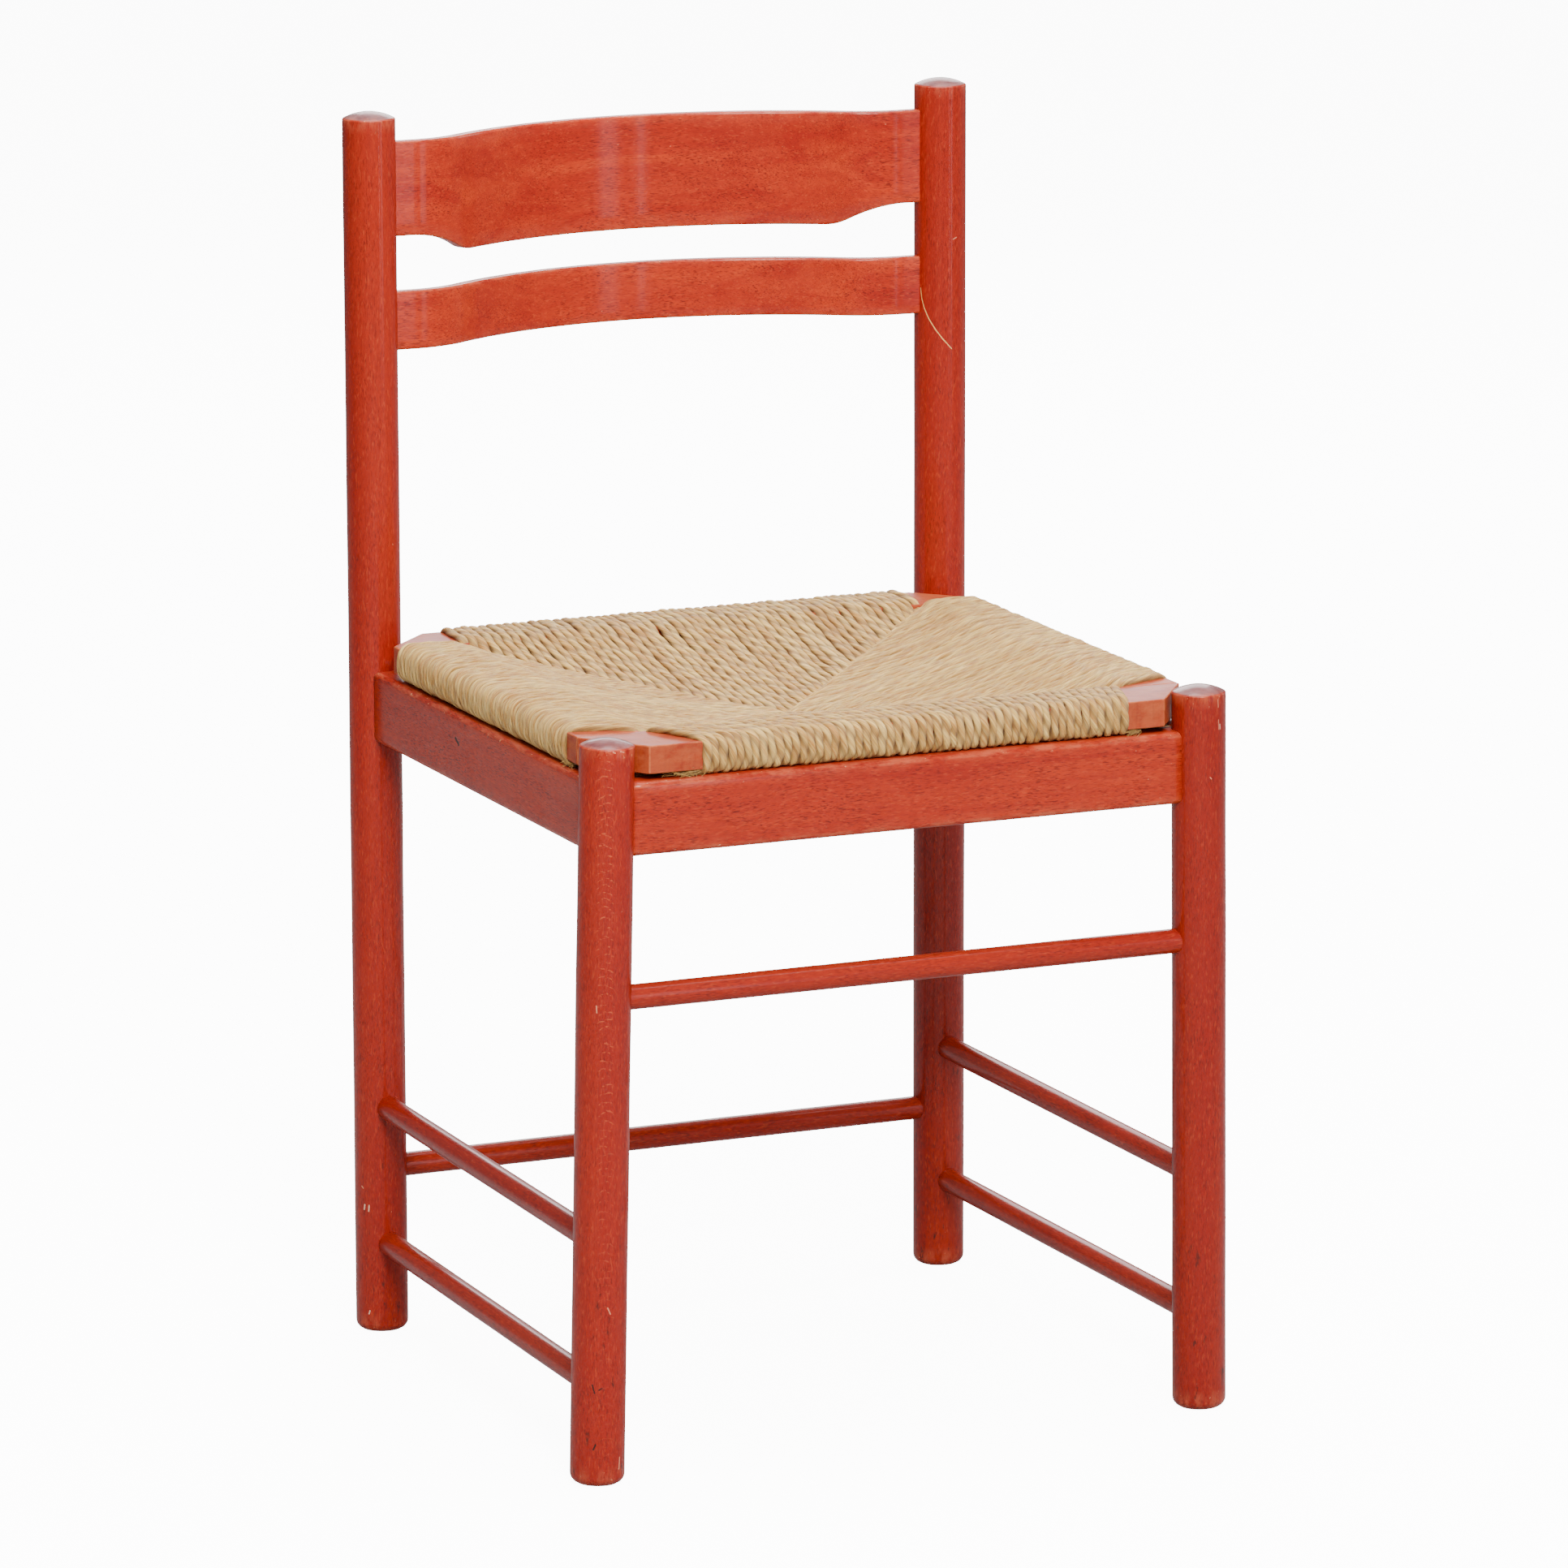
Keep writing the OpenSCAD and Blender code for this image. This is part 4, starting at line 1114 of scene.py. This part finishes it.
def cord_profile(side, style, t, rng):
    """Side view of a cord as (distance out from the middle, height), t as in seam_height."""
    half = style.thick / 2
    top_z, low_z = WEAVE_HIGH[2] - half, ROLL_BOTTOM + half
    rim = side.reach_out - half
    seam_out = t * side.reach_in + 1.6 * MM
    flat_start = side.reach_in + 4 * MM
    on_board = (flat_start + rim - EDGE_ROUND) / 2
    seam_top, seam_low = seam_height(t, True), seam_height(t, False)
    emerge = seam_out + 0.5 * style.dive
    run = max(0.0, flat_start - emerge)
    count = max(1, int(run / (9 * MM)))
    shares = [k / count for k in range(1, count)]
    profile = [(seam_out - TUCK, seam_top - style.dive),
               (seam_out - 0.3 * TUCK, seam_top - 0.55 * style.dive),
               (emerge, seam_top)]
    for u in shares:
        sag = 2.2 * MM * 4 * u * (1 - u) * min(1.0, run / (120 * MM))
        profile.append((emerge + run * u, seam_top + (top_z - seam_top) * u ** 1.12 - sag))
    if flat_start > emerge:
        profile.append((flat_start, top_z - 0.3 * MM))
    profile.append((on_board, top_z + 0.2 * MM + rng.normal(0, 0.25 * MM)))
    profile += quarter_turn(rim, top_z, False)
    profile += quarter_turn(rim, low_z, True)
    profile += [(on_board, low_z), (flat_start, low_z + 0.3 * MM)]
    for k in range(1, count):
        u = 1 - k / count
        profile.append((emerge + run * u, seam_low + (low_z - seam_low) * u ** 1.12))
    profile += [(emerge, seam_low),
                (seam_out - 0.3 * TUCK, seam_low + 0.55 * style.dive),
                (seam_out - TUCK, seam_low + style.dive)]
    return np.array(profile), seam_out, rim


def cord_route(side, style, share, rng):
    """A cord from its seam on top, over and round the frame, to its seam underneath."""
    outer, inner, seam, t = side.lateral(share)
    profile, seam_out, rim = cord_profile(side, style, t, rng)
    profile = smooth_line(profile, 2)
    out, height = profile[:, 0], profile[:, 1]
    into = np.clip((out - seam_out) / max(side.reach_in - seam_out, 4 * MM), 0, 1)
    over = np.clip((out - side.reach_in) / (rim - side.reach_in), 0, 1)
    lateral = seam + (inner - seam) * into + (outer - inner) * over ** 0.8
    route = (np.outer(lateral, side.along) + np.outer(out, side.out)
             + side.middle_out * np.abs(side.out))
    route[:, 2] = height
    return route


def smooth_line(points, rounds):
    """Rounds a line's corners by cutting them, keeping its ends."""
    for _ in range(rounds):
        a, b = points[:-1], points[1:]
        cut = np.empty((2 * len(a), points.shape[1]))
        cut[0::2] = 0.75 * a + 0.25 * b
        cut[1::2] = 0.25 * a + 0.75 * b
        points = np.vstack([points[:1], cut, points[-1:]])
    return points


def resampled(route, step_top, step_under):
    """Points along a route, close together where it shows and further apart underneath."""
    lengths = np.linalg.norm(np.diff(route, axis=0), axis=1)
    along = np.concatenate([[0], np.cumsum(lengths)])
    outermost = int(np.argmax(np.abs(route[:, :2] - CENTRE).max(axis=1)))
    turn = min(along[outermost] + 34 * MM, along[-1] * 0.75)
    top = np.linspace(0, turn, max(8, int(turn / step_top)), endpoint=False)
    under = np.linspace(turn, along[-1], max(6, int((along[-1] - turn) / step_under)))
    places = np.concatenate([top, under])
    return np.stack([np.interp(places, along, route[:, k]) for k in range(3)], 1), places


def cord_tube(route, places, side, style, rng, start):
    """A twisted cord's rings round its route: points, faces and the attributes that its finish reads."""
    around = 14
    count = len(route)
    tangent = np.gradient(route, axis=0)
    tangent /= np.linalg.norm(tangent, axis=1)[:, None]
    lateral = side.along - tangent * (side.along * tangent).sum(1)[:, None]
    lateral /= np.linalg.norm(lateral, axis=1)[:, None]
    normal = np.cross(lateral, tangent)
    # How many rings each ring is from the nearer end; the cord thins there, and is darkened with painted
    # shade where it dives under the next side's cords.
    from_end = np.minimum(np.arange(count), count - 1 - np.arange(count))
    swell = 1 + rng.normal(0, 0.035) + slow_noise(count, 12, 0.035, rng)
    swell = swell * np.clip((1 + from_end) / 3.0, 0.5, 1)
    drift = slow_noise(count, 16, style.wobble, rng)
    lift = slow_noise(count, 14, 0.22 * MM, rng)
    pitch = style.pitch * (1 + rng.normal(0, 0.10))
    twist = 2 * math.pi * places / pitch + rng.uniform(0, 2 * math.pi)
    angles = np.linspace(0, 2 * math.pi, around, endpoint=False)
    turn = angles[None, :] - twist[:, None]
    # The plies' valleys, and a few coarser strands.
    valley = np.abs(np.sin(style.plies * turn / 2)) ** 3.2
    bumpy = 1 + 0.035 * np.sin(5 * turn + 3 * np.sin(twist / 3)[:, None])
    radius = swell[:, None] * (1 - style.depth * valley) * bumpy
    # A cord pressed between its neighbours has nearly flat sides.
    squared = np.abs(np.cos(angles)) ** 4 * 0.05
    across = (style.width / 2) * radius * (np.cos(angles) * (1 - squared))[None, :]
    outward = (style.thick / 2) * radius * np.sin(angles)[None, :]
    centre = route + lateral * drift[:, None] + normal * lift[:, None]
    points = (centre[:, None, :] + across[:, :, None] * lateral[:, None, :]
              + outward[:, :, None] * normal[:, None, :])
    lot = rng.uniform(0, 1)
    own = rng.uniform(0, 40)
    strand = np.broadcast_to((places / (220 * MM))[:, None], turn.shape)
    fibre = np.stack([np.cos(turn) + own, np.sin(turn) + own * 0.7, strand + own], 2)
    # Painted shade: the groove shade darkens the plies' valleys, the cord's sides where it presses on its
    # neighbours, and its ends where it dives under the next side's cords.
    sides = np.abs(np.cos(angles)) ** 3 * 0.8
    groove_shade = np.clip(valley ** 1.5 * min(1.0, style.depth * 3) + sides[None, :], 0, 1)
    ends = np.clip(1 - from_end / 4.0, 0, 1)
    groove_shade = np.clip(groove_shade + 0.9 * ends[:, None], 0, 1)
    return {
        "points": points.reshape(-1, 3),
        "faces": tube_faces(count, around, start),
        "fibre": fibre.reshape(-1, 3),
        "groove_shade": groove_shade.ravel(),
        "tone": np.full(count * around, lot),
    }


def weave_piece(name, material, sides):
    """The cords of two opposite sides, as one object."""
    parts, start = [], 0
    for word in sides:
        side, style = Side(word), STYLES[word]
        rng = np.random.default_rng(seed_of(word))
        for share in (np.arange(style.count) + 0.5) / style.count:
            route, places = resampled(cord_route(side, style, share, rng), 1.7 * MM, 4.5 * MM)
            tube = cord_tube(route, places, side, style, rng, start)
            start += len(tube["points"])
            parts.append(tube)
    points = np.vstack([part["points"] for part in parts])
    faces = [face for part in parts for face in part["faces"]]
    looks = {key: np.concatenate([part[key] for part in parts]) for key in ("fibre", "groove_shade", "tone")}
    piece = add_piece(name, points, faces, material, "seat", looks, ("rush_weave",))


def build_weave():
    """All the cords of the seat: ropy ones at the front and rear, matted ones at the sides."""
    weave_piece("rush_front_and_rear", rush("rush_ropy", False, 5.0), ("front", "rear"))
    weave_piece("rush_sides", rush("rush_matted", True, 2.0), ("left", "right"))


def pad_points(name, rows, around):
    """Rings of a lumpy three-cornered pad from the frame to its tip, and their fibre directions."""
    low, high = node_box(f"stuffing_{name}")
    low, high = low - PAD_SPREAD, high + PAD_SPREAD
    rng = np.random.default_rng(seed_of("stuffing" + name))
    lumps = rng.uniform(0, 6.28, 8)
    crosswise = name in ("front", "rear")
    across, out = (0, 1) if crosswise else (1, 0)
    base, tip = low[out], high[out]
    if name in ("rear", "right"):
        base, tip = tip, base
    middle = (low[across] + high[across]) / 2
    points, fibre = [], []
    for i in range(rows):
        t = i / (rows - 1)
        half = (high[across] - low[across]) / 2 * (1 - 0.93 * t)
        inward = t * (1 - abs(tip) / abs(base))
        roof = WEAVE_HIGH[2] - 8 * MM - (SEAT_SAG + 2 * MM) * inward
        ground = ROLL_BOTTOM + 8 * MM - UNDER_SAG * inward
        thick = max(2 * MM, (roof - ground) / 2)
        close = min(1.0, math.sqrt(max(0.02, 16 * t * (1 - t))))
        for k in range(around):
            a = 2 * math.pi * k / around
            lump = 1 + 0.05 * math.sin(5 * a + lumps[i % 8]) + 0.04 * math.sin(54 * t + lumps[k % 8])
            u = middle + half * math.cos(a) * 0.97
            v = base + (tip - base) * t
            z = (roof + ground) / 2 + thick * 0.9 * math.sin(a) * close * min(lump, 1.04)
            points.append((u, v, z) if crosswise else (v, u, z))
            fibre.append((math.cos(a) * 3, math.sin(a) * 3, t * 4))
    return points, fibre


def build_stuffing():
    """Loose rush in the four pockets between the upper and lower cord."""
    material = rush("rush_loose", True, 11.0)
    rows, around = 22, 28
    for name in ("front", "rear", "left", "right"):
        points, fibre = pad_points(name, rows, around)
        looks = {"fibre": fibre, "groove_shade": np.zeros(len(points)), "tone": np.full(len(points), 0.4)}
        piece = add_piece(f"stuffing_{name}_pad", points, tube_faces(rows, around), material,
                          "seat", looks, (f"stuffing_{name}",))
        face_outward(piece)


class Tuft(NamedTuple):
    """Frayed fibres round a middle; spread is in millimetres and lie is the way they point."""

    middle: tuple
    spread: tuple
    lie: tuple
    count: int
    length: float


def frayed_tufts():
    """The corners where the cords begin and end."""
    x0, x1 = ROLLS["front"]
    y_front, y_left = WEAVE_LOW[1], ROLLS["left"][0]
    low, high = ROLL_BOTTOM, WEAVE_HIGH[2]
    return [
        Tuft((x0 - 9 * MM, y_front + 6 * MM, low + 3.0 * MM), (11, 2.5, 1.6), (-1, -0.1, 0.05),
             90, 12 * MM),
        Tuft((x1 + 5 * MM, y_front + 5 * MM, low + 3.2 * MM), (3.0, 2, 1.5), (1, -0.1, 0.3),
             46, 8 * MM),
        Tuft((x0 + 4 * MM, y_front + 38 * MM, high - 2 * MM), (12, 2.2, 0.8), (-0.6, -1, 0.02),
             60, 9 * MM),
        Tuft((-FRAME_HIGH[0] + 1 * MM, y_left - 2 * MM, low + 3 * MM), (1.6, 5, 2.0), (-0.2, -1, -0.1),
             60, 9 * MM),
    ]


def fibre_rings(tuft, rng, start, steps=7, around=5):
    """One bent, pointed fibre of a tuft: points, fibre directions and tones."""
    at = np.array(tuft.middle) + rng.normal(0, 1, 3) * np.array(tuft.spread) * MM * 0.6
    heading = np.array(tuft.lie, float) + rng.normal(0, 0.45, 3)
    heading /= np.linalg.norm(heading)
    bend = rng.normal(0, 0.5, 3)
    reach = tuft.length * rng.uniform(0.5, 1.2)
    radius = rng.uniform(0.10, 0.28) * MM
    side = np.cross(heading, UP)
    side /= np.linalg.norm(side)
    up = np.cross(heading, side)
    points, fibre, tone = [], [], []
    for i in range(steps):
        t = i / (steps - 1)
        spot = at + heading * reach * (t - 0.5) + bend * reach * 0.35 * (t - 0.5) ** 2
        thin = radius * (1 - 0.7 * abs(2 * t - 1) ** 2)
        for k in range(around):
            a = 2 * math.pi * k / around
            points.append(spot + thin * (math.cos(a) * side + math.sin(a) * up))
            fibre.append((math.cos(a) + start * 0.01, math.sin(a), t))
            tone.append(rng.uniform(0, 1) * 0.2 + 0.4)
    return points, tube_faces(steps, around, start), fibre, tone


def build_frayed_ends():
    """Loose fibres at the corners where the cords begin and end."""
    rng = np.random.default_rng(41)
    points, faces, fibre, tone = [], [], [], []
    for tuft in frayed_tufts():
        for _ in range(tuft.count):
            made = fibre_rings(tuft, rng, len(points))
            for whole, part in zip((points, faces, fibre, tone), made):
                whole.extend(part)
    points = np.array(points)
    points[:, 2] = np.maximum(points[:, 2], ROLL_BOTTOM + 0.1 * MM)
    looks = {"fibre": fibre, "groove_shade": np.full(len(points), 0.15), "tone": tone}
    material = rush("rush_frayed", False, 3.0)
    piece = add_piece("rush_frayed_ends", points, faces, material, "seat", looks)


# ---------------------------------------------------------------- the scene

def finish_bare_wood():
    """The modelled dowels and corner blocks are shown as they are, in bare wood."""
    wood = plain_beech()
    for name in ("rail_dowels", "corner_blocks", "seat_frame_dowels"):
        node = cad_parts[name]
        node.data.materials.clear()
        node.data.materials.append(wood)


add_camera()
add_lights()
add_floor()
build_legs()
build_stretchers()
build_rails()
build_slats()
build_seat_frame()
build_weave()
build_stuffing()
build_frayed_ends()
finish_bare_wood()
